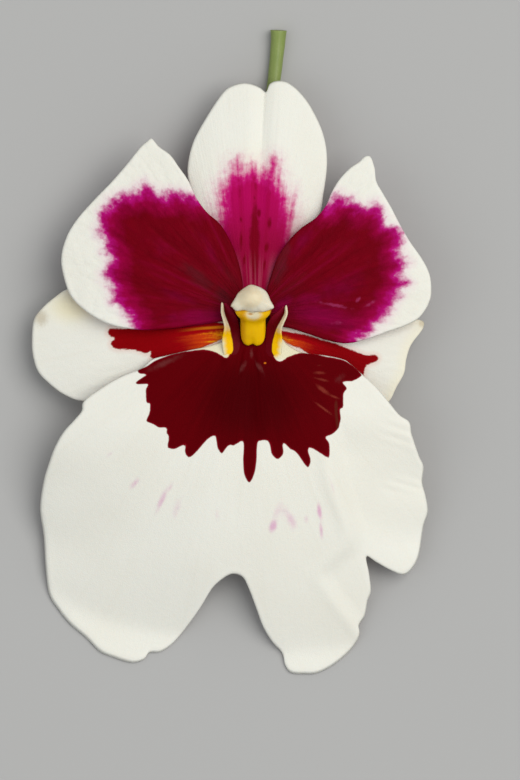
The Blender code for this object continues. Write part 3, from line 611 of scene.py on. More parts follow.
def column_skin(rows, columns):
    """The column and its yellow plate: up its height, rings with |x|^n + |y|^n the same all round,
    n being their squareness, with a groove down the plate's front that notches its end, a faint
    wave across it and a pit in the stigma. The two middles of its ends come last."""
    level, wide, near, far, square = smooth_line(COLUMN_RINGS, rows).T[:, :, None]
    turn = np.linspace(0.0, 2 * math.pi, columns, endpoint=False)[None, :]
    across = np.sign(np.cos(turn)) * np.abs(np.cos(turn)) ** (2.0 / square)
    along = np.sign(np.sin(turn)) * np.abs(np.sin(turn)) ** (2.0 / square)
    facing = np.maximum(-np.sin(turn), 0.0)
    x = wide * across
    y = (near + far) / 2 + (far - near) / 2 * along
    y = y + 0.42 * np.exp(-(((x + 0.1) / 0.42) ** 2)) * facing * smoothstep(13.6, 12.0, level)
    pit = leaning(x, y, [(-0.45, 1.0, 0.26, 0.5, 0.0, 1.0)]) * smoothstep(15.0, 16.0, level)
    z = level - 0.2 * pit + 0.05 * np.cos(2.6 * x) * facing * smoothstep(15.4, 14.0, level)
    marks = {
        "pale": leaning(x, y, [(0.1, 0.95, 1.0, 1.4, 0.0, 1.0)]) * smoothstep(14.6, 16.0, level),
        "brown": pit,
        # Painted shade on the column's left side
        "dim": np.exp(-(((x + 1.9) / 0.8) ** 2)),
        # Painted shade and red reflection from the petals on the column's outer sides, partly their
        # own reddish tint
        "flush": smoothstep(2.7, 3.3, np.abs(x)) * smoothstep(14.8, 15.6, level),
    }
    ends = [[0.0, 0.4, 9.3], [0.0, 3.3, 17.5]]
    points = np.vstack([np.stack([x, y, z], -1).reshape(-1, 3), ends])
    marks = {key: np.append(value, [0.0, 0.0]) for key, value in marks.items()}
    return points, round_faces(rows, columns), marks


def cap_skin(cells):
    """A helmet over the cap's outline: a low dome that falls to the rim, with a round crown
    standing on it, and an inner skin half a millimetre lower that meets it along the rim."""
    x, y, reach = blade_grid(CAP_RIM, (0.0, 3.7), cells)
    crown = np.exp(-((((x + 0.15) / 2.1) ** 2 + ((y - 3.9) / 2.0) ** 2) ** 1.5))
    top = 17.62 + 1.5 * np.sqrt(1.0 - reach**2.4) + 0.9 * crown * (1.0 - reach**3)
    top += 0.10 * np.cos(1.7 * x) * (1.0 - crown) * (1.0 - reach)
    under = top - 0.5 * np.sqrt(1.0 - reach**6)
    edge = reach.reshape(-1) >= ON_RIM
    upper, lower = (np.stack([x, y, z], -1).reshape(-1, 3) for z in (top, under))
    marks = {"pale": smoothstep(0.7, 0.1, crown - 0.10 * x),
             "warm": smoothstep(3.4, 5.4, y) * smoothstep(1.6, -0.6, x)}
    points, faces = two_skins(upper, lower, edge, grid_faces(cells + 1, cells + 1))
    return points, faces, skin_marks(marks, edge)


def pollinia_skin(rows, columns):
    """Two waxy lobes joined at a waist: a round body along X that is narrow in its middle."""
    tilt = np.linspace(0.0, math.pi, rows + 2)[1:-1, None]
    turn = np.linspace(0.0, 2 * math.pi, columns, endpoint=False)[None, :]
    way = np.stack([np.sin(tilt) * np.cos(turn), np.sin(tilt) * np.sin(turn),
                    np.cos(tilt) + 0 * turn], -1).reshape(-1, 3)
    way = np.vstack([way, [[0, 0, 1], [0, 0, -1]]])
    waist = 0.5 + 0.5 * smoothstep(0.0, 0.55, np.abs(way[:, 0]))
    girth = np.stack([np.ones_like(waist), waist, waist], -1)
    points = way * (1.15, 0.6, 0.6) * girth + (0.0, 3.5, 18.35)
    return points, round_faces(rows, columns, over=True), {"pale": np.abs(way[:, 0]) * 0.3}


def stalk_skin(rows, columns):
    """The ovary and its stalk: circles of STALK_LINE's radii across its path, with six low ribs
    that twist slowly along the ovary and faint bumps further on, and a cut end that is cupped a
    little. The middles of the near and the cut end come last."""
    path = smooth_line(STALK_LINE, rows)
    centre, radius = path[:, :3], np.maximum(path[:, 3:], 0.3)
    along = np.concatenate([[0.0], np.cumsum(np.linalg.norm(np.diff(centre, axis=0), axis=1))])
    ahead = np.gradient(centre, axis=0)
    ahead /= np.linalg.norm(ahead, axis=1, keepdims=True)
    side = np.cross(ahead, [0.0, 0.35, 1.0])
    side = np.where(side[:, :1] < 0, -side, side)
    side /= np.linalg.norm(side, axis=1, keepdims=True)
    over = np.cross(side, ahead)
    turn = np.linspace(0.0, 2 * math.pi, columns, endpoint=False)[None, :]
    run = along[:, None]
    ovary = smoothstep(1.5, 4.0, run) * smoothstep(24.0, 15.0, run)
    ribs = np.cos(6 * (turn + 0.02 * run))
    bumps = 0.02 * np.sin(run * 1.7 + 3 * np.sin(turn)) * smoothstep(18.0, 26.0, run)
    size = radius * (0.985 - 0.07 * ovary * (1 - ribs) / 2 + bumps * 0.5)
    skin = (centre[:, None] + size[..., None] * (np.cos(turn)[..., None] * side[:, None]
                                                + np.sin(turn)[..., None] * over[:, None]))
    skin[..., 2] = np.clip(skin[..., 2], 0.02, 9.0)
    end = skin[-1].mean(0)
    rim = skin[-1] * 0.93 + end * 0.07 - ahead[-1] * 0.12
    cup = skin[-1] * 0.45 + end * 0.55 - ahead[-1] * 0.22
    points = np.vstack([skin.reshape(-1, 3), rim, cup, skin[:1].mean(1),
                        cup.mean(0, keepdims=True) - ahead[-1:] * 0.08])
    spread, cut_rings = np.ones((rows, columns)), np.ones(2 * columns)
    marks = {"along": (run * spread, along[-1]), "rib": (ribs * ovary * spread, 0.0),
             "turn": (np.sin(turn) * spread, 0.0), "cut": (0.0 * spread, 1.0)}
    marks = {key: np.concatenate([value.reshape(-1), cut_rings * at_cut, [0.0, at_cut]])
             for key, (value, at_cut) in marks.items()}
    return points, round_faces(rows + 2, columns, over=True), marks


def polar_marks(x, y, base, axis):
    """Bearing from an axis through base, as millimetres across at 20 mm out, and distance out."""
    away_x, away_y = x - base[0], y - base[1]
    along = away_x * axis[0] + away_y * axis[1]
    across = away_x * axis[1] - away_y * axis[0]
    return {"across": np.arctan2(across, along) * 20.0, "out": np.hypot(away_x, away_y)}


# Materials

# Tints within the marks, beside the colours that the settings hold
THIN_WHITE = (0.93, 0.92, 0.87)
PETAL_HAZE = (0.72, 0.32, 0.54)
PETAL_PLUM = (0.26, 0.0010, 0.062)
PETAL_SHADOW = (0.085, 0.011, 0.018)
VEIN_SHADE = (0.62, 0.5, 0.45)
CRUSH_SHADE = (0.62, 0.5, 0.5)
PETAL_FLECK = (0.46, 0.06, 0.20)
PETAL_BACK = (0.62, 0.30, 0.38)
MIDRIB_CREAM = (0.84, 0.80, 0.58)
SEPAL_HAZE = (0.72, 0.28, 0.46)
SEPAL_PINK = (0.56, 0.010, 0.19)
SEPAL_MAGENTA = (0.40, 0.0008, 0.070)
SEPAL_VEIN = (0.30, 0.0006, 0.028)
SEPAL_BASE = (0.25, 0.0020, 0.026)
SEPAL_DASH = (0.17, 0.0004, 0.006)
SEPAL_STRIPE = (0.44, 0.09, 0.14)
SEPAL_FLANK = (0.52, 0.12, 0.20)
SEPAL_BACK = (0.70, 0.42, 0.44)
LATERAL_CREAM = (0.84, 0.78, 0.54)
LATERAL_TIP_SHADE = (0.36, 0.27, 0.12)
STREAK_SCARLET = (0.36, 0.0010, 0.004)
STREAK_CRIMSON = (0.235, 0.0003, 0.0022)
STREAK_THREAD = (0.25, 0.0004, 0.0028)
STREAK_AMBER = (0.72, 0.22, 0.006)
STREAK_EDGE = (0.30, 0.0006, 0.004)
STREAK_HAZE = (0.74, 0.36, 0.30)
LATERAL_BACK = (0.74, 0.62, 0.50)
LIP_PINK = (0.66, 0.26, 0.50)
LIP_CREAM = (0.76, 0.70, 0.46)
MASK_OUTER = (0.108, 0.0003, 0.0022)
MASK_RAY = (0.105, 0.0003, 0.0026)
MASK_THROAT = (0.100, 0.0004, 0.003)
KEEL_SHEEN = (0.150, 0.035, 0.034)
SCRATCH_TAN = (0.27, 0.045, 0.028)
FOLD_SHADOW = (0.10, 0.018, 0.010)
SPECK_ORANGE = (0.62, 0.16, 0.008)
LIP_BACK = (0.72, 0.52, 0.48)
EAR_CREAM = (0.76, 0.70, 0.44)
EAR_WALL = (0.115, 0.0004, 0.004)
EAR_GLOW = (0.26, 0.006, 0.030)
POLLEN_YELLOW = (0.80, 0.55, 0.10)
POLLEN_OCHRE = (0.576, 0.396, 0.072)
POLLEN_ORANGE = (0.7, 0.4, 0.06)
COLUMN_OCHRE = (0.62, 0.30, 0.003)
COLUMN_SHADE = (0.55, 0.22, 0.004)
COLUMN_RED_SHADE_AND_TINT = (0.30, 0.02, 0.02)
STIGMA_CREAM = (0.76, 0.66, 0.42)
STIGMA_BROWN = (0.55, 0.24, 0.04)
CAP_WING = (0.80, 0.76, 0.63)
CAP_WARM = (0.66, 0.54, 0.36)
CAP_SHADE = (0.62, 0.50, 0.30)
STALK_RIB = (0.36, 0.42, 0.13)
STALK_STREAK = (0.13, 0.19, 0.035)
STALK_YOUNG = (0.40, 0.42, 0.16)
STALK_SPECK = (0.48, 0.5, 0.25)
PITH_PALE = (0.52, 0.54, 0.30)
PITH_FIBRE = (0.30, 0.33, 0.12)
STALK_JOIN = (0.09, 0.0006, 0.004)


class Value:
    """A number or colour that a node works out. Operators add the Math nodes."""

    def __init__(self, finish, socket):
        self.finish = finish
        self.socket = socket

    def maths(self, operation, *others):
        """This value and the others through a Math node."""
        return self.finish.node("ShaderNodeMath", {"operation": operation}, [self, *others])

    def __add__(self, other):
        return self.maths("ADD", other)

    def __sub__(self, other):
        return self.maths("SUBTRACT", other)

    def __mul__(self, other):
        return self.maths("MULTIPLY", other)

    def __rsub__(self, other):
        return self.finish.node("ShaderNodeMath", {"operation": "SUBTRACT"}, [other, self])

    __radd__ = __add__
    __rmul__ = __mul__

    def size(self):
        """The value without its sign."""
        return self.maths("ABSOLUTE")

    def stir(self, *noises):
        """The value moved up and down by noises, each given with its amount."""
        moved = self
        for noise, amount in zip(noises[::2], noises[1::2]):
            moved = moved + (noise - 0.5) * amount
        return moved

    def rise(self, low, high):
        """0 up to low, 1 from high on, and a smooth rise between."""
        return self.finish.node("ShaderNodeMapRange", {"interpolation_type": "SMOOTHSTEP"},
                                {"Value": self, "From Min": low, "From Max": high})


class Finish:
    """One material under construction: a Principled shader and the nodes that feed it."""

    def __init__(self, name, roughness, coat=0.0, subsurface=0.0, gloss=0.5):
        self.material = bpy.data.materials.new(name)
        self.material.use_nodes = True
        self.tree = self.material.node_tree
        self.shader = self.tree.nodes["Principled BSDF"]
        for key, value in (("Roughness", roughness), ("Coat Weight", coat),
                           ("Coat Roughness", 0.3), ("Subsurface Weight", subsurface),
                           ("Subsurface Radius", (1.0, 0.75, 0.6)),
                           ("Subsurface Scale", 0.0008), ("Specular IOR Level", gloss)):
            self.shader.inputs[key].default_value = value

    def node(self, kind, settings=None, inputs=(), output=0):
        """Adds a node, sets it up, fills its sockets with numbers or links and wraps its output."""
        made = self.tree.nodes.new(kind)
        for key, value in (settings or {}).items():
            setattr(made, key, value)
        pairs = inputs.items() if isinstance(inputs, dict) else enumerate(inputs)
        for key, value in pairs:
            if isinstance(value, Value):
                self.tree.links.new(value.socket, made.inputs[key])
            else:
                made.inputs[key].default_value = value
        return Value(self, made.outputs[output])

    def mark(self, name):
        """The piece's own attribute of this name."""
        return self.node("ShaderNodeAttribute", {"attribute_name": name}, output="Fac")

    def place(self):
        """Object coordinates, in metres."""
        return self.node("ShaderNodeTexCoord", output="Object")

    def vector(self, x, y, z=0.0):
        """Three values as one vector."""
        return self.node("ShaderNodeCombineXYZ", inputs=[x, y, z])

    def noise(self, at, scale, detail=2.0, roughness=0.5):
        """Cloudy noise from 0 to 1, about 0.5."""
        return self.node("ShaderNodeTexNoise", {"noise_dimensions": "3D"},
                         {"Vector": at, "Scale": scale, "Detail": detail, "Roughness": roughness})

    def cells(self, at, scale):
        """Distance from the nearest of scattered points."""
        return self.node("ShaderNodeTexVoronoi", inputs={"Vector": at, "Scale": scale})

    def mix(self, share, first, second):
        """first where share is 0, second where it is 1."""
        full = [tuple(c) + (1.0,) if not isinstance(c, Value) else c for c in (first, second)]
        return self.node("ShaderNodeMix", {"data_type": "RGBA"}, {0: share, 6: full[0], 7: full[1]},
                         output=2)

    def deepen(self, tint, share, factor):
        """tint times factor where share is 1."""
        return self.node("ShaderNodeMix", {"data_type": "RGBA", "blend_type": "MULTIPLY"},
                         {0: share, 6: tint, 7: tuple(factor) + (1.0,)}, output=2)

    def finish(self, tint, relief, height, roughness):
        """Feeds the shader its colour, its bump of this height in metres and its roughness."""
        bump = self.node("ShaderNodeBump", inputs={"Strength": 1.0, "Distance": height,
                                                   "Height": relief})
        for key, value in (("Base Color", tint), ("Normal", bump), ("Roughness", roughness)):
            self.tree.links.new(value.socket, self.shader.inputs[key])
        return self.material


def tissue_relief(made, across, out):
    """Papillae as fine cells, and long low furrows between the veins."""
    grain = made.cells(made.place(), 5200.0)
    furrow = made.noise(made.vector(across * 1.3, out * 0.12), 1.0, 3.0)
    crepe = made.noise(made.place(), 900.0, 3.0, 0.6)
    return grain * 0.45 + furrow * 1.2 + crepe * 0.8


def white_tissue(made, colours, across, out, margin):
    """White with faint warmer veins, a slow drift to a creamier white and a paler thin margin."""
    drift = made.noise(made.place(), 55.0, 2.0).rise(0.35, 0.75)
    vein = made.noise(made.vector(across * 1.6, out * 0.05), 1.0, 2.0).rise(0.52, 0.75)
    tint = made.mix(drift * 0.16, colours.white, colours.shade)
    tint = made.mix(vein * 0.08, tint, colours.shade)
    return made.mix(margin.rise(1.6, 0.0) * 0.10, tint, THIN_WHITE)


def back_of(made, share):
    """share on the back of a blade, and 0 on its front and along its rim."""
    return made.mark("front").rise(0.45, 0.0) * share


def petal_finish(colours):
    """The crimson blotch, rosier and then magenta towards its stippled, feathered edge."""
    made = Finish("petal_tissue", 0.55, subsurface=0.05, gloss=0.02)
    across, out, margin = made.mark("across"), made.mark("out"), made.mark("margin")
    hairs = made.noise(made.vector(across * 0.9, out * 0.25), 1.0, 4.0, 0.55)
    cloud = made.noise(made.place(), 520.0, 3.0, 0.55)
    grain = made.noise(made.place(), 1500.0, 2.0, 0.6)
    inside = made.mark("inside").stir(hairs, 2.8, cloud, 2.2) + 0.1
    edge = inside.stir(grain, 1.3)
    white = white_tissue(made, colours, across, out, margin)
    tint = made.mix(inside.rise(-2.4, 0.6) * 0.36, white, PETAL_HAZE)
    tint = made.mix(edge.rise(-1.0, 0.9), tint, colours.magenta)
    tint = made.mix(edge.rise(0.3, 2.2), tint, colours.rose)
    tint = made.mix(inside.stir(grain, 0.8).rise(0.9, 4.6), tint, colours.crimson)
    cover = edge.rise(0.0, 1.6)
    base = out.stir(cloud, 8.0).rise(14.0, 3.5)
    tint = made.mix(base * 0.28, tint, colours.dusk)
    purple = made.mark("purple").stir(cloud, 0.6).rise(0.1, 1.0)
    tint = made.mix(purple * 0.6, tint, PETAL_PLUM)
    # Painted shadow on the petals near the column, from the dusk spots
    painted_shadow = made.mark("dusk").stir(cloud, 0.9, hairs, 0.8).rise(0.15, 1.0)
    tint = made.mix(painted_shadow * 0.55, tint, PETAL_SHADOW)
    vein = made.noise(made.vector(across * 0.45, out * 0.04), 1.0, 2.0)
    tint = made.deepen(tint, vein.rise(0.54, 0.36) * cover * 0.40, VEIN_SHADE)
    tint = made.mix(vein.rise(0.55, 0.70) * cover * 0.22, tint, colours.rose)
    crush = made.cells(made.vector(across * 1.1, out * 0.5), 1.0).rise(0.25, 0.75)
    tint = made.deepen(tint, crush * cover * 0.22, CRUSH_SHADE)
    fleck = made.mark("fleck").stir(cloud, 1.2, grain, 0.8).rise(0.35, 1.0)
    tint = made.mix(fleck * 0.38, tint, PETAL_FLECK)
    tint = made.mix(back_of(made, 0.6), tint, PETAL_BACK)
    relief = tissue_relief(made, across, out) + vein * 1.5 - crush * 0.8
    return made.finish(tint, relief, 0.00008, grain * 0.16 + 0.45)


def sepal_finish(colours):
    """The dorsal sepal: magenta between three dark veins broken into dashes, stippled out to white
    at the sides and the top, with pale stripes at the base."""
    made = Finish("dorsal_sepal_tissue", 0.55, subsurface=0.05, gloss=0.02)
    across, out, margin = made.mark("across"), made.mark("out"), made.mark("margin")
    side = made.mark("side")
    hairs = made.noise(made.vector(side * 1.1, out * 0.12), 1.0, 4.0, 0.6)
    cloud = made.noise(made.place(), 650.0, 3.0, 0.6)
    grain = made.noise(made.place(), 1700.0, 2.0, 0.65)
    inside = made.mark("inside").stir(hairs, 3.4, cloud, 2.6) + 0.1
    edge = inside.stir(grain, 1.1)
    white = white_tissue(made, colours, across, out, margin)
    glow = (4.0 - side.size()).rise(0.0, 3.5) * out.rise(40.0, 30.0)
    white = made.mix(glow * 0.35, white, MIDRIB_CREAM)
    stipple = inside.stir(grain, 3.0).rise(-3.4, 1.2) * out.rise(40.0, 32.0)
    tint = made.mix(stipple * 0.46, white, SEPAL_HAZE)
    tint = made.mix(edge.rise(-1.3, 1.5), tint, SEPAL_PINK)
    tint = made.mix(edge.rise(0.6, 2.8) * 0.85, tint, SEPAL_MAGENTA)
    threads = made.noise(made.vector(side * 2.4, out * 0.06, 2.0), 1.0, 2.0)
    middle = (0.62 - side.size()).stir(threads, 1.4).rise(-0.3, 0.35)
    beside = (0.42 - (side.size() - 2.62).size()).stir(threads, 1.2).rise(-0.35, 0.35)
    veins_up = (middle + beside * 0.8) * edge.rise(1.0, 2.6)
    tint = made.mix(veins_up * 0.50, tint, SEPAL_VEIN)
    low = out.rise(28.5, 18.0)
    tint = made.mix(low * 0.8, tint, SEPAL_BASE)
    dash = made.mark("dash").stir(cloud, 0.7, threads, 0.4).rise(0.2, 0.75)
    tint = made.mix(dash * 0.88, tint, SEPAL_DASH)
    stripe = made.noise(made.vector(side * 1.9, out * 0.04, 9.0), 1.0, 2.0).rise(0.50, 0.64)
    tint = made.mix(out.rise(19.0, 13.0) * stripe * 0.34, tint, SEPAL_STRIPE)
    pale = side.size().rise(3.2, 4.8) * out.rise(19.0, 13.0)
    tint = made.mix(pale * 0.45, tint, SEPAL_FLANK)
    tint = made.mix(back_of(made, 0.6), tint, SEPAL_BACK)
    relief = tissue_relief(made, across, out) + threads
    return made.finish(tint, relief, 0.00007, grain * 0.14 + 0.45)


def streak_finish(colours):
    """The lateral sepals: white to cream, with the streak that runs from yellow by the column
    through orange and red threads to a dark jagged end."""
    made = Finish("lateral_sepal_tissue", 0.55, subsurface=0.05, gloss=0.02)
    across, out, margin = made.mark("across"), made.mark("out"), made.mark("margin")
    inside, low = made.mark("inside"), made.mark("low")
    threads = made.noise(made.vector(out * 0.10, low * 1.5), 1.0, 3.0, 0.6)
    hairs = made.noise(made.vector(across * 3.0, out * 0.3), 1.0, 4.0, 0.6)
    grain = made.noise(made.place(), 2100.0, 2.0, 0.7)
    white = white_tissue(made, colours, across, out, margin)
    tint = made.mix(made.mark("cream").rise(0.0, 1.0) * 0.85, white, LATERAL_CREAM)
    # Painted shade where each lateral sepal's tip bends back
    tint = made.mix(made.mark("tan").stir(grain, 0.6).rise(0.1, 1.0) * 0.45, tint, LATERAL_TIP_SHADE)
    cover = inside.stir(hairs, 0.5, grain, 0.3).rise(-0.12, 0.14)
    red = made.mix(out.stir(hairs, 8.0).rise(8.0, 18.0), STREAK_SCARLET, STREAK_CRIMSON)
    red = made.mix(threads.rise(0.40, 0.60) * 0.55, red, STREAK_THREAD)
    heat = low.stir(threads, 2.0, grain, 0.5).rise(0.8, 1.7)
    near = made.mark("hot").stir(threads, 1.1, grain, 0.2).rise(0.2, 1.0)
    warm = made.mix(near * heat * 0.9, red, colours.orange)
    gold = made.mark("hot").stir(threads, 1.2, grain, 0.3).rise(0.72, 1.2)
    warm = made.mix(gold * heat * 0.95, warm, colours.yellow)
    upper = made.mark("upper").stir(threads, 0.9).rise(0.2, 0.9)
    warm = made.mix(upper * out.rise(14.0, 6.0) * 0.85, warm, STREAK_AMBER)
    line = inside.stir(grain, 0.2).rise(0.40, 0.05)
    warm = made.mix(line * 0.5, warm, STREAK_EDGE)
    tint = made.mix(inside.rise(-1.0, -0.1) * 0.28, tint, STREAK_HAZE)
    tint = made.mix(cover, tint, warm)
    tint = made.mix(back_of(made, 0.65), tint, LATERAL_BACK)
    relief = tissue_relief(made, across, out) + threads * cover
    return made.finish(tint, relief, 0.00007, grain * 0.14 + 0.45)


def lip_finish(colours):
    """White with a very dark crimson mask that has a slightly brighter rim, painted sheen on its
    keels and pale scratches on it, and small pink marks on the white."""
    made = Finish("lip_tissue", 0.6, subsurface=0.05, gloss=0.01)
    across, out, margin = made.mark("across"), made.mark("out"), made.mark("margin")
    inside = made.mark("inside")
    hairs = made.noise(made.vector(across * 1.6, out * 0.15), 1.0, 4.0, 0.6)
    grain = made.noise(made.place(), 2000.0, 2.0, 0.7)
    cloud = made.noise(made.place(), 800.0, 3.0, 0.6)
    white = white_tissue(made, colours, across, out, margin)
    patches = (made.mark("blush") * 1.15).stir(hairs, 0.7, cloud, 0.7).rise(0.12, 1.35)
    tint = made.mix(patches * 0.62, white, LIP_PINK)
    tint = made.mix(made.mark("cream").rise(0.0, 1.0) * 0.8, tint, LIP_CREAM)
    yellow = made.mark("yellow").stir(grain, 0.3).rise(0.2, 0.9)
    tint = made.mix(yellow * 0.95, tint, colours.yellow)
    cover = inside.stir(hairs, 0.3).rise(-0.08, 0.10)
    rays = made.noise(made.vector(across * 0.8, out * 0.04), 1.0, 3.0, 0.6)
    deep = made.mark("deep").stir(rays, 0.8, cloud, 0.2).rise(0.0, 0.95)
    red = made.mix(deep, MASK_OUTER, colours.mask)
    red = made.mix(rays.rise(0.52, 0.72) * 0.35, red, MASK_RAY)
    red = made.mix(inside.stir(rays, 0.5).rise(0.42, 0.05) * 0.9, red, colours.mask_edge)
    red = made.mix(out.rise(9.0, 5.0) * 0.5, red, MASK_THROAT)
    # Painted sheen on the keels and patches of the mask
    sheen = made.mark("keel").stir(cloud, 0.8, grain, 0.4).rise(0.15, 1.0)
    red = made.mix(sheen * 0.60, red, KEEL_SHEEN)
    pale = made.mark("scratch").stir(grain, 0.6).rise(0.2, 0.9)
    red = made.mix(pale * 0.55, red, SCRATCH_TAN)
    # Painted shadow in a strip beside the fold, on the lower side of its step
    fold_shadow = made.mark("fold").stir(grain, 0.5).rise(0.3, 0.9)
    red = made.mix(fold_shadow * 0.6, red, FOLD_SHADOW)
    tint = made.mix(cover, tint, red)
    tint = made.mix(made.mark("speck").rise(0.4, 0.8), tint, SPECK_ORANGE)
    tint = made.mix(back_of(made, 0.7), tint, LIP_BACK)
    relief = tissue_relief(made, across, out) + rays * cover * 0.8
    return made.finish(tint, relief, 0.00006, grain * 0.14 + 0.44)


def ear_finish(colours):
    """The ears: dark crimson inside, yellow low on the edge and cream along it."""
    made = Finish("ear_tissue", 0.5, subsurface=0.1, gloss=0.04)
    up, along = made.mark("up"), made.mark("along")
    grain = made.noise(made.place(), 1600.0, 3.0, 0.6)
    cream = made.mix(along.stir(grain, 0.2).rise(0.46, 0.66), colours.yellow, colours.cream)
    edge = up.stir(grain, 0.2).rise(0.72, 1.0) * along.rise(0.46, 0.32)
    cream = made.mix(edge, cream, EAR_CREAM)
    toe = along.rise(0.3, 0.75) * 0.30 + along.rise(0.22, 0.02) * 0.35
    wall = (up - toe).stir(grain, 0.05).rise(0.48, 0.42)
    inner = made.mix(along.rise(0.55, 0.95) * up.rise(0.6, 0.1), EAR_WALL, EAR_GLOW)
    tint = made.mix(wall, cream, inner)
    tint = made.mix(back_of(made, 1.0) * up.rise(0.5, 0.8), tint, cream)
    return made.finish(tint, grain, 0.00005, grain * 0.2 + 0.35)


def pollen_finish():
    """Waxy yellow, more orange towards the ends of the lobes."""
    made = Finish("pollen_wax_grain", 0.38, coat=0.15, subsurface=0.25)
    grain = made.noise(made.place(), 1300.0, 3.0, 0.6)
    soft = made.noise(made.place(), 350.0, 2.0)
    tint = made.mix(soft.rise(0.35, 0.75) * 0.3, POLLEN_YELLOW, POLLEN_OCHRE)
    tint = made.mix(made.mark("pale").stir(grain, 0.25).rise(0.25, 0.75), tint, POLLEN_ORANGE)
    return made.finish(tint, grain * 0.7 + soft, 0.00005, grain * 0.2 + 0.28)


def column_finish(colours):
    """Waxy yellow with a cream stigma, a brown pit in it and painted shade on the left."""
    made = Finish("column_wax", 0.42, subsurface=0.15, gloss=0.1)
    grain = made.noise(made.place(), 1300.0, 3.0, 0.6)
    soft = made.noise(made.place(), 350.0, 2.0)
    tint = made.mix(soft.rise(0.35, 0.75) * 0.3, colours.yellow, COLUMN_OCHRE)
    # Painted shade on the left side of the column
    tint = made.mix(made.mark("dim").rise(0.2, 1.0) * 0.55, tint, COLUMN_SHADE)
    # Painted shade and red reflection on the column's outer sides, partly their own reddish tint
    tint = made.mix(made.mark("flush").stir(grain, 0.4).rise(0.2, 0.9) * 0.8, tint, COLUMN_RED_SHADE_AND_TINT)
    tint = made.mix(made.mark("pale").stir(grain, 0.35).rise(0.15, 0.75), tint, STIGMA_CREAM)
    tint = made.mix(made.mark("brown").stir(grain, 0.3).rise(0.2, 1.0) * 0.85, tint, STIGMA_BROWN)
    return made.finish(tint, grain * 0.7 + soft, 0.00005, grain * 0.2 + 0.28)


def cap_finish(colours):
    """Waxy cream, whiter on the wings and warmer towards the pointed back."""
    made = Finish("anther_wax", 0.4, subsurface=0.2, gloss=0.2)
    grain = made.noise(made.place(), 1300.0, 3.0, 0.6)
    soft = made.noise(made.place(), 500.0, 2.0)
    tint = made.mix(made.mark("pale").rise(0.0, 1.0) * 0.7, colours.cream, CAP_WING)
    tint = made.mix(made.mark("warm") * 0.45, tint, CAP_WARM)
    tint = made.mix(soft.rise(0.35, 0.75) * 0.2, tint, CAP_SHADE)
    return made.finish(tint, grain * 0.7 + soft, 0.00005, grain * 0.2 + 0.28)


def stalk_finish(colours):
    """Green, ribbed along its length, paler on the ribs, with fine speckles and a pale cut end."""
    made = Finish("stalk_tissue", 0.45, coat=0.1, subsurface=0.1)
    along, rib, cut = made.mark("along"), made.mark("rib"), made.mark("cut")
    streak = made.noise(made.vector(made.mark("turn") * 14.0, along * 0.15), 1.0, 3.0)
    speck = made.cells(made.place(), 2600.0).rise(0.28, 0.12)
    tint = made.mix(rib.rise(-0.6, 0.9) * 0.35, colours.green, STALK_RIB)
    tint = made.mix(streak.rise(0.4, 0.7) * 0.35, tint, STALK_STREAK)
    tint = made.mix(along.rise(14.0, 0.0) * 0.35, tint, STALK_YOUNG)
    tint = made.mix(speck * 0.22, tint, STALK_SPECK)
    fibre = made.cells(made.place(), 4200.0).rise(0.1, 0.5)
    pith = made.mix(fibre * 0.5, PITH_PALE, PITH_FIBRE)
    tint = made.mix(cut.rise(0.3, 0.6), tint, pith)
    tint = made.mix(along.rise(1.6, 0.9), tint, STALK_JOIN)
    return made.finish(tint, streak + speck * 0.2, 0.00008, streak * 0.15 + 0.36)


# Operators


def settings():
    """The scene's shape, colours and stage."""
    scene = bpy.context.scene
    return scene.bloom_shape, scene.bloom_colours, scene.bloom_stage


class BLOOM_OT_dorsal_sepal(bpy.types.Operator):
    """Adds the dorsal sepal"""

    bl_idname = "bloom.dorsal_sepal"
    bl_label = "Dorsal sepal"

    def execute(self, context):
        shape, colours, _ = settings()

        def marks(x, y, margin):
            found = polar_marks(x, y, (0.3, -6.0), (0.03, 1.0))
            found["inside"] = distance_inside(x, y, smooth_ring(DORSAL_BLOTCH, 8))
            found["side"] = (x - 0.3) / (y + 16.0) * 41.0
            found["dash"] = leaning(x, y, SEPAL_DASHES)
            found["margin"] = margin
            return found

        blade("dorsal_sepal", DORSAL_SEPAL_RIM, (1.5, 14.0), dorsal_sepal_height,
              lambda x, y: veins(x, y, (0.3, -8.0), 26.0, 21), sepal_finish(colours),
              "sepal_white", marks, shape, shape.cells)
        return {"FINISHED"}


class BLOOM_OT_lateral_sepals(bpy.types.Operator):
    """Adds the two lateral sepals"""

    bl_idname = "bloom.lateral_sepals"
    bl_label = "Lateral sepals"

    def execute(self, context):
        shape, colours, _ = settings()
        finish = streak_finish(colours)
        sides = (("left", LEFT_SEPAL_RIM, (-16.0, -2.0), LEFT_STREAK, (-1.0, -0.12),
                  (-0.6, -1.0, -1.6, -2.6), 17.0),
                 ("right", RIGHT_SEPAL_RIM, (16.0, -6.5), RIGHT_STREAK, (1.0, -0.28),
                  (-1.3, -2.5, -3.9, -6.4), 14.5))
        for side, rim, heart, streak, axis, streak_top, heat_reach in sides:
            def marks(x, y, margin):
                found = polar_marks(x, y, (0.0, 0.0), axis)
                below = np.interp(np.abs(x), (3.0, 9.0, 14.0, 22.0), streak_top) - y
                found["inside"] = distance_inside(x, y, smooth_ring(streak, 8))
                found["low"] = below
                found["hot"] = smoothstep(heat_reach, 5.5, np.hypot(x, y))
                found["upper"] = np.exp(-(((below - 0.45) / 0.3) ** 2)) * (side == "left")
                found["cream"] = (leaning(x, y, LEFT_SEPAL_CREAM) if side == "left"
                                  else smoothstep(3.2, 0.0, margin) * 0.5)
                # Painted shade near each tip, where the sepal bends back
                found["tan"] = leaning(x, y, SEPAL_TIP_SHADE_SPOTS)
                found["margin"] = margin
                return found

            blade(f"lateral_sepal_{side}", rim, heart, lateral_sepal_height,
                  lambda x, y: ripple(x, y * 2.4, 3.4, 30), finish, "sepal_white", marks, shape,
                  shape.cells)
        return {"FINISHED"}


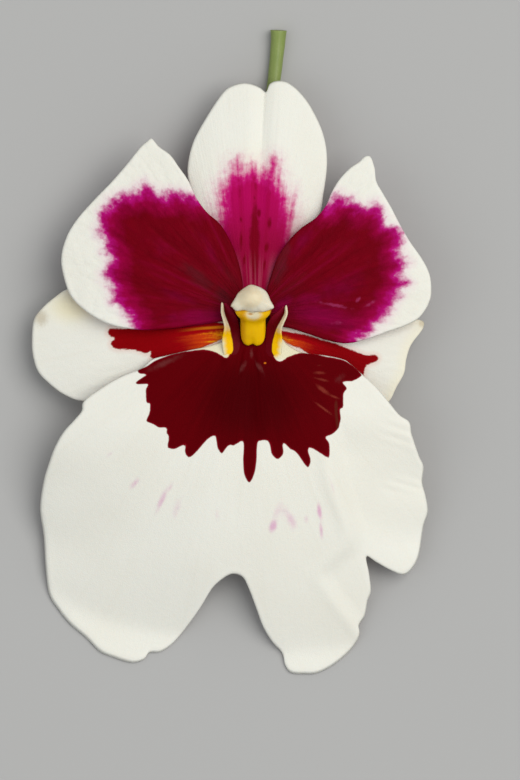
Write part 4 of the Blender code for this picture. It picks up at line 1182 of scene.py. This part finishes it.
class BLOOM_OT_petals(bpy.types.Operator):
    """Adds the two petals"""

    bl_idname = "bloom.petals"
    bl_label = "Petals"

    def execute(self, context):
        shape, colours, _ = settings()
        finish = petal_finish(colours)
        sides = (("left", LEFT_PETAL_RIM, (-17.0, 14.0), LEFT_BLOTCH, (-0.85, 0.53)),
                 ("right", RIGHT_PETAL_RIM, (17.0, 14.0), RIGHT_BLOTCH, (0.87, 0.49)))
        for side, rim, heart, blotch, axis in sides:
            def marks(x, y, margin):
                found = polar_marks(x, y, (0.0, 1.0), axis)
                found["inside"] = distance_inside(x, y, smooth_ring(blotch, 8))
                found["fleck"] = leaning(x, y, PETAL_FLECKS)
                # Where painted shadow darkens the petal near the column
                found["dusk"] = leaning(x, y, PETAL_SHADOW_SPOTS)
                found["purple"] = leaning(x, y, PETAL_PURPLE)
                found["margin"] = margin
                return found

            blade(f"petal_{side}", rim, heart, petal_height,
                  lambda x, y: veins(x, y, (0.0, 1.0), 24.0, 40), finish, "petal_crimson", marks,
                  shape, shape.cells)
        return {"FINISHED"}


class BLOOM_OT_lip(bpy.types.Operator):
    """Adds the lip with its two ears"""

    bl_idname = "bloom.lip"
    bl_label = "Lip"

    def execute(self, context):
        shape, colours, _ = settings()

        def marks(x, y, margin):
            found = polar_marks(x, y, (0.0, 1.0), (0.0, -1.0))
            found["inside"] = distance_inside(x, y, smooth_ring(LIP_MASK, 8))
            found["margin"] = margin
            found["blush"] = leaning(x, y, PINK_MARKS)
            found["scratch"] = leaning(x, y, SCRATCHES)
            # Where painted sheen lightens the mask
            found["keel"] = leaning(x, y, KEELS)
            found["deep"] = leaning(x, y, MASK_DEPTH)
            found["speck"] = leaning(x, y, MASK_SPECK)
            # The strip of painted shadow beside the lip's fold
            fold_shadow = np.exp(-(((behind_fold(x, y) - 1.3) / 0.35) ** 2))
            found["fold"] = fold_shadow * smoothstep(-13.0, -15.0, y)
            beside = np.abs(x)
            found["yellow"] = np.exp(-(((beside - 4.0) / 0.7) ** 2)) * smoothstep(-7.4, -5.6, y)
            shoulder = smoothstep(3.1, 4.4, beside) * smoothstep(11.5, 8.5, beside)
            found["cream"] = shoulder * smoothstep(-7.6, -6.4, y)
            return found

        blade("lip", LIP_RIM, (0.35, -14.0), lip_height,
              lambda x, y: veins(x, y, (0.0, 6.0), -22.0, 52), lip_finish(colours), "lip_white",
              marks, shape, shape.lip_cells, crowd=1.25)
        ears = ear_finish(colours)
        for side in (-1, 1):
            add_ear(side, ears)
        return {"FINISHED"}


class BLOOM_OT_column(bpy.types.Operator):
    """Adds the column, the anther cap and the pollinarium"""

    bl_idname = "bloom.column"
    bl_label = "Column and anther cap"

    def execute(self, context):
        _, colours, _ = settings()
        make_piece("column_body", *column_skin(rows=110, columns=84), column_finish(colours),
                   "column", "column_yellow")
        make_piece("anther_cap_shell", *cap_skin(cells=64), cap_finish(colours), "anther_cap",
                   "anther_cream")
        make_piece("pollinia", *pollinia_skin(rows=24, columns=32), pollen_finish(),
                   "pollinarium", "pollen_wax")
        return {"FINISHED"}


class BLOOM_OT_stalk(bpy.types.Operator):
    """Adds the stalk with the ovary"""

    bl_idname = "bloom.stalk"
    bl_label = "Stalk and ovary"

    def execute(self, context):
        _, colours, _ = settings()
        make_piece("stalk_and_ovary", *stalk_skin(rows=260, columns=60), stalk_finish(colours),
                   "stalk_with_ovary", "stalk_green")
        return {"FINISHED"}


class BLOOM_OT_stage(bpy.types.Operator):
    """Adds the floor, the lights and the camera"""

    bl_idname = "bloom.stage"
    bl_label = "Floor, light and camera"

    def execute(self, context):
        _, _, stage = settings()
        floor_mesh = bpy.data.meshes.new("floor")
        corners = [(x * FLOOR_HALF, y * FLOOR_HALF, 0.0)
                   for x, y in ((-1, -1), (1, -1), (1, 1), (-1, 1))]
        floor_mesh.from_pydata(corners, [], [(0, 1, 2, 3)])
        floor = bpy.data.objects.new("floor", floor_mesh)
        floor.location.z = -FLOOR_DROP
        made = Finish("floor_paint", 0.7)
        made.shader.inputs["Base Color"].default_value = (*stage.floor, 1.0)
        floor_mesh.materials.append(made.material)
        context.scene.collection.objects.link(floor)
        self.light(context, "key", stage.key, 1.8, (1.0, 0.45, 2.0), (1.0, 0.98, 0.95))
        self.light(context, "fill", stage.fill, 1.6, (-1.3, -0.4, 1.6), (0.95, 0.97, 1.0))
        world = bpy.data.worlds.new("soft_room")
        world.use_nodes = True
        room = world.node_tree.nodes["Background"]
        room.inputs["Color"].default_value = (0.95, 0.97, 1.0, 1.0)
        room.inputs["Strength"].default_value = stage.room
        context.scene.world = world
        context.scene.view_settings.view_transform = "Standard"
        self.camera(context, stage)
        return {"FINISHED"}

    def light(self, context, name, power, size, place, tint):
        """A square soft light aimed at the bloom."""
        lamp = bpy.data.lights.new(name, "AREA")
        lamp.energy, lamp.size, lamp.color = power, size, tint
        made = bpy.data.objects.new(name, lamp)
        made.location = place
        aim = Vector((0.0, 0.0, 0.01)) - made.location
        made.rotation_euler = aim.to_track_quat("-Z", "Y").to_euler()
        context.scene.collection.objects.link(made)

    def camera(self, context, stage):
        """Straight above the picture's middle, with the lens that gives the picture's scale."""
        centre = ((PICTURE[0] / 2 - FOOT_IN_PICTURE[0]) * stage.pixel,
                  (FOOT_IN_PICTURE[1] - PICTURE[1] / 2) * stage.pixel)
        view = bpy.data.cameras.new("camera")
        view.sensor_width = 36.0
        reach = stage.distance - SCALE_LEVEL
        view.lens = view.sensor_width * reach / (PICTURE[1] * stage.pixel * MM)
        view.clip_start, view.clip_end = 0.01, 20.0
        camera = bpy.data.objects.new("camera", view)
        camera.location = ((centre[0] + FOOT[0]) * MM, (centre[1] + FOOT[1]) * MM, stage.distance)
        context.scene.collection.objects.link(camera)
        context.scene.camera = camera


class BLOOM_PT_panel(bpy.types.Panel):
    """Lists the bloom's settings and pieces"""

    bl_idname = "BLOOM_PT_panel"
    bl_label = "Pansy orchid bloom"
    bl_space_type = "VIEW_3D"
    bl_region_type = "UI"
    bl_category = "Orchid"

    def draw(self, context):
        for group in settings():
            box = self.layout.box()
            for key in type(group).__annotations__:
                box.prop(group, key)
        for operator in OPERATORS:
            self.layout.operator(operator.bl_idname)


GROUPS = {"bloom_shape": BloomShape, "bloom_colours": BloomColours, "bloom_stage": BloomStage}
OPERATORS = (BLOOM_OT_stalk, BLOOM_OT_dorsal_sepal, BLOOM_OT_lateral_sepals, BLOOM_OT_petals,
             BLOOM_OT_lip, BLOOM_OT_column, BLOOM_OT_stage)


def register():
    """Registers the classes and the scene's settings."""
    for made in (*GROUPS.values(), *OPERATORS, BLOOM_PT_panel):
        bpy.utils.register_class(made)
    for key, group in GROUPS.items():
        setattr(bpy.types.Scene, key, PointerProperty(type=group))


def unregister():
    """Takes them all away again."""
    for key in GROUPS:
        delattr(bpy.types.Scene, key)
    for made in (BLOOM_PT_panel, *reversed(OPERATORS), *GROUPS.values()):
        bpy.utils.unregister_class(made)


def main():
    """Builds the bloom and its stage."""
    register()
    bpy.ops.bloom.stalk()
    bpy.ops.bloom.dorsal_sepal()
    bpy.ops.bloom.lateral_sepals()
    bpy.ops.bloom.petals()
    bpy.ops.bloom.lip()
    bpy.ops.bloom.column()
    bpy.ops.bloom.stage()


if __name__ == "__main__":
    main()
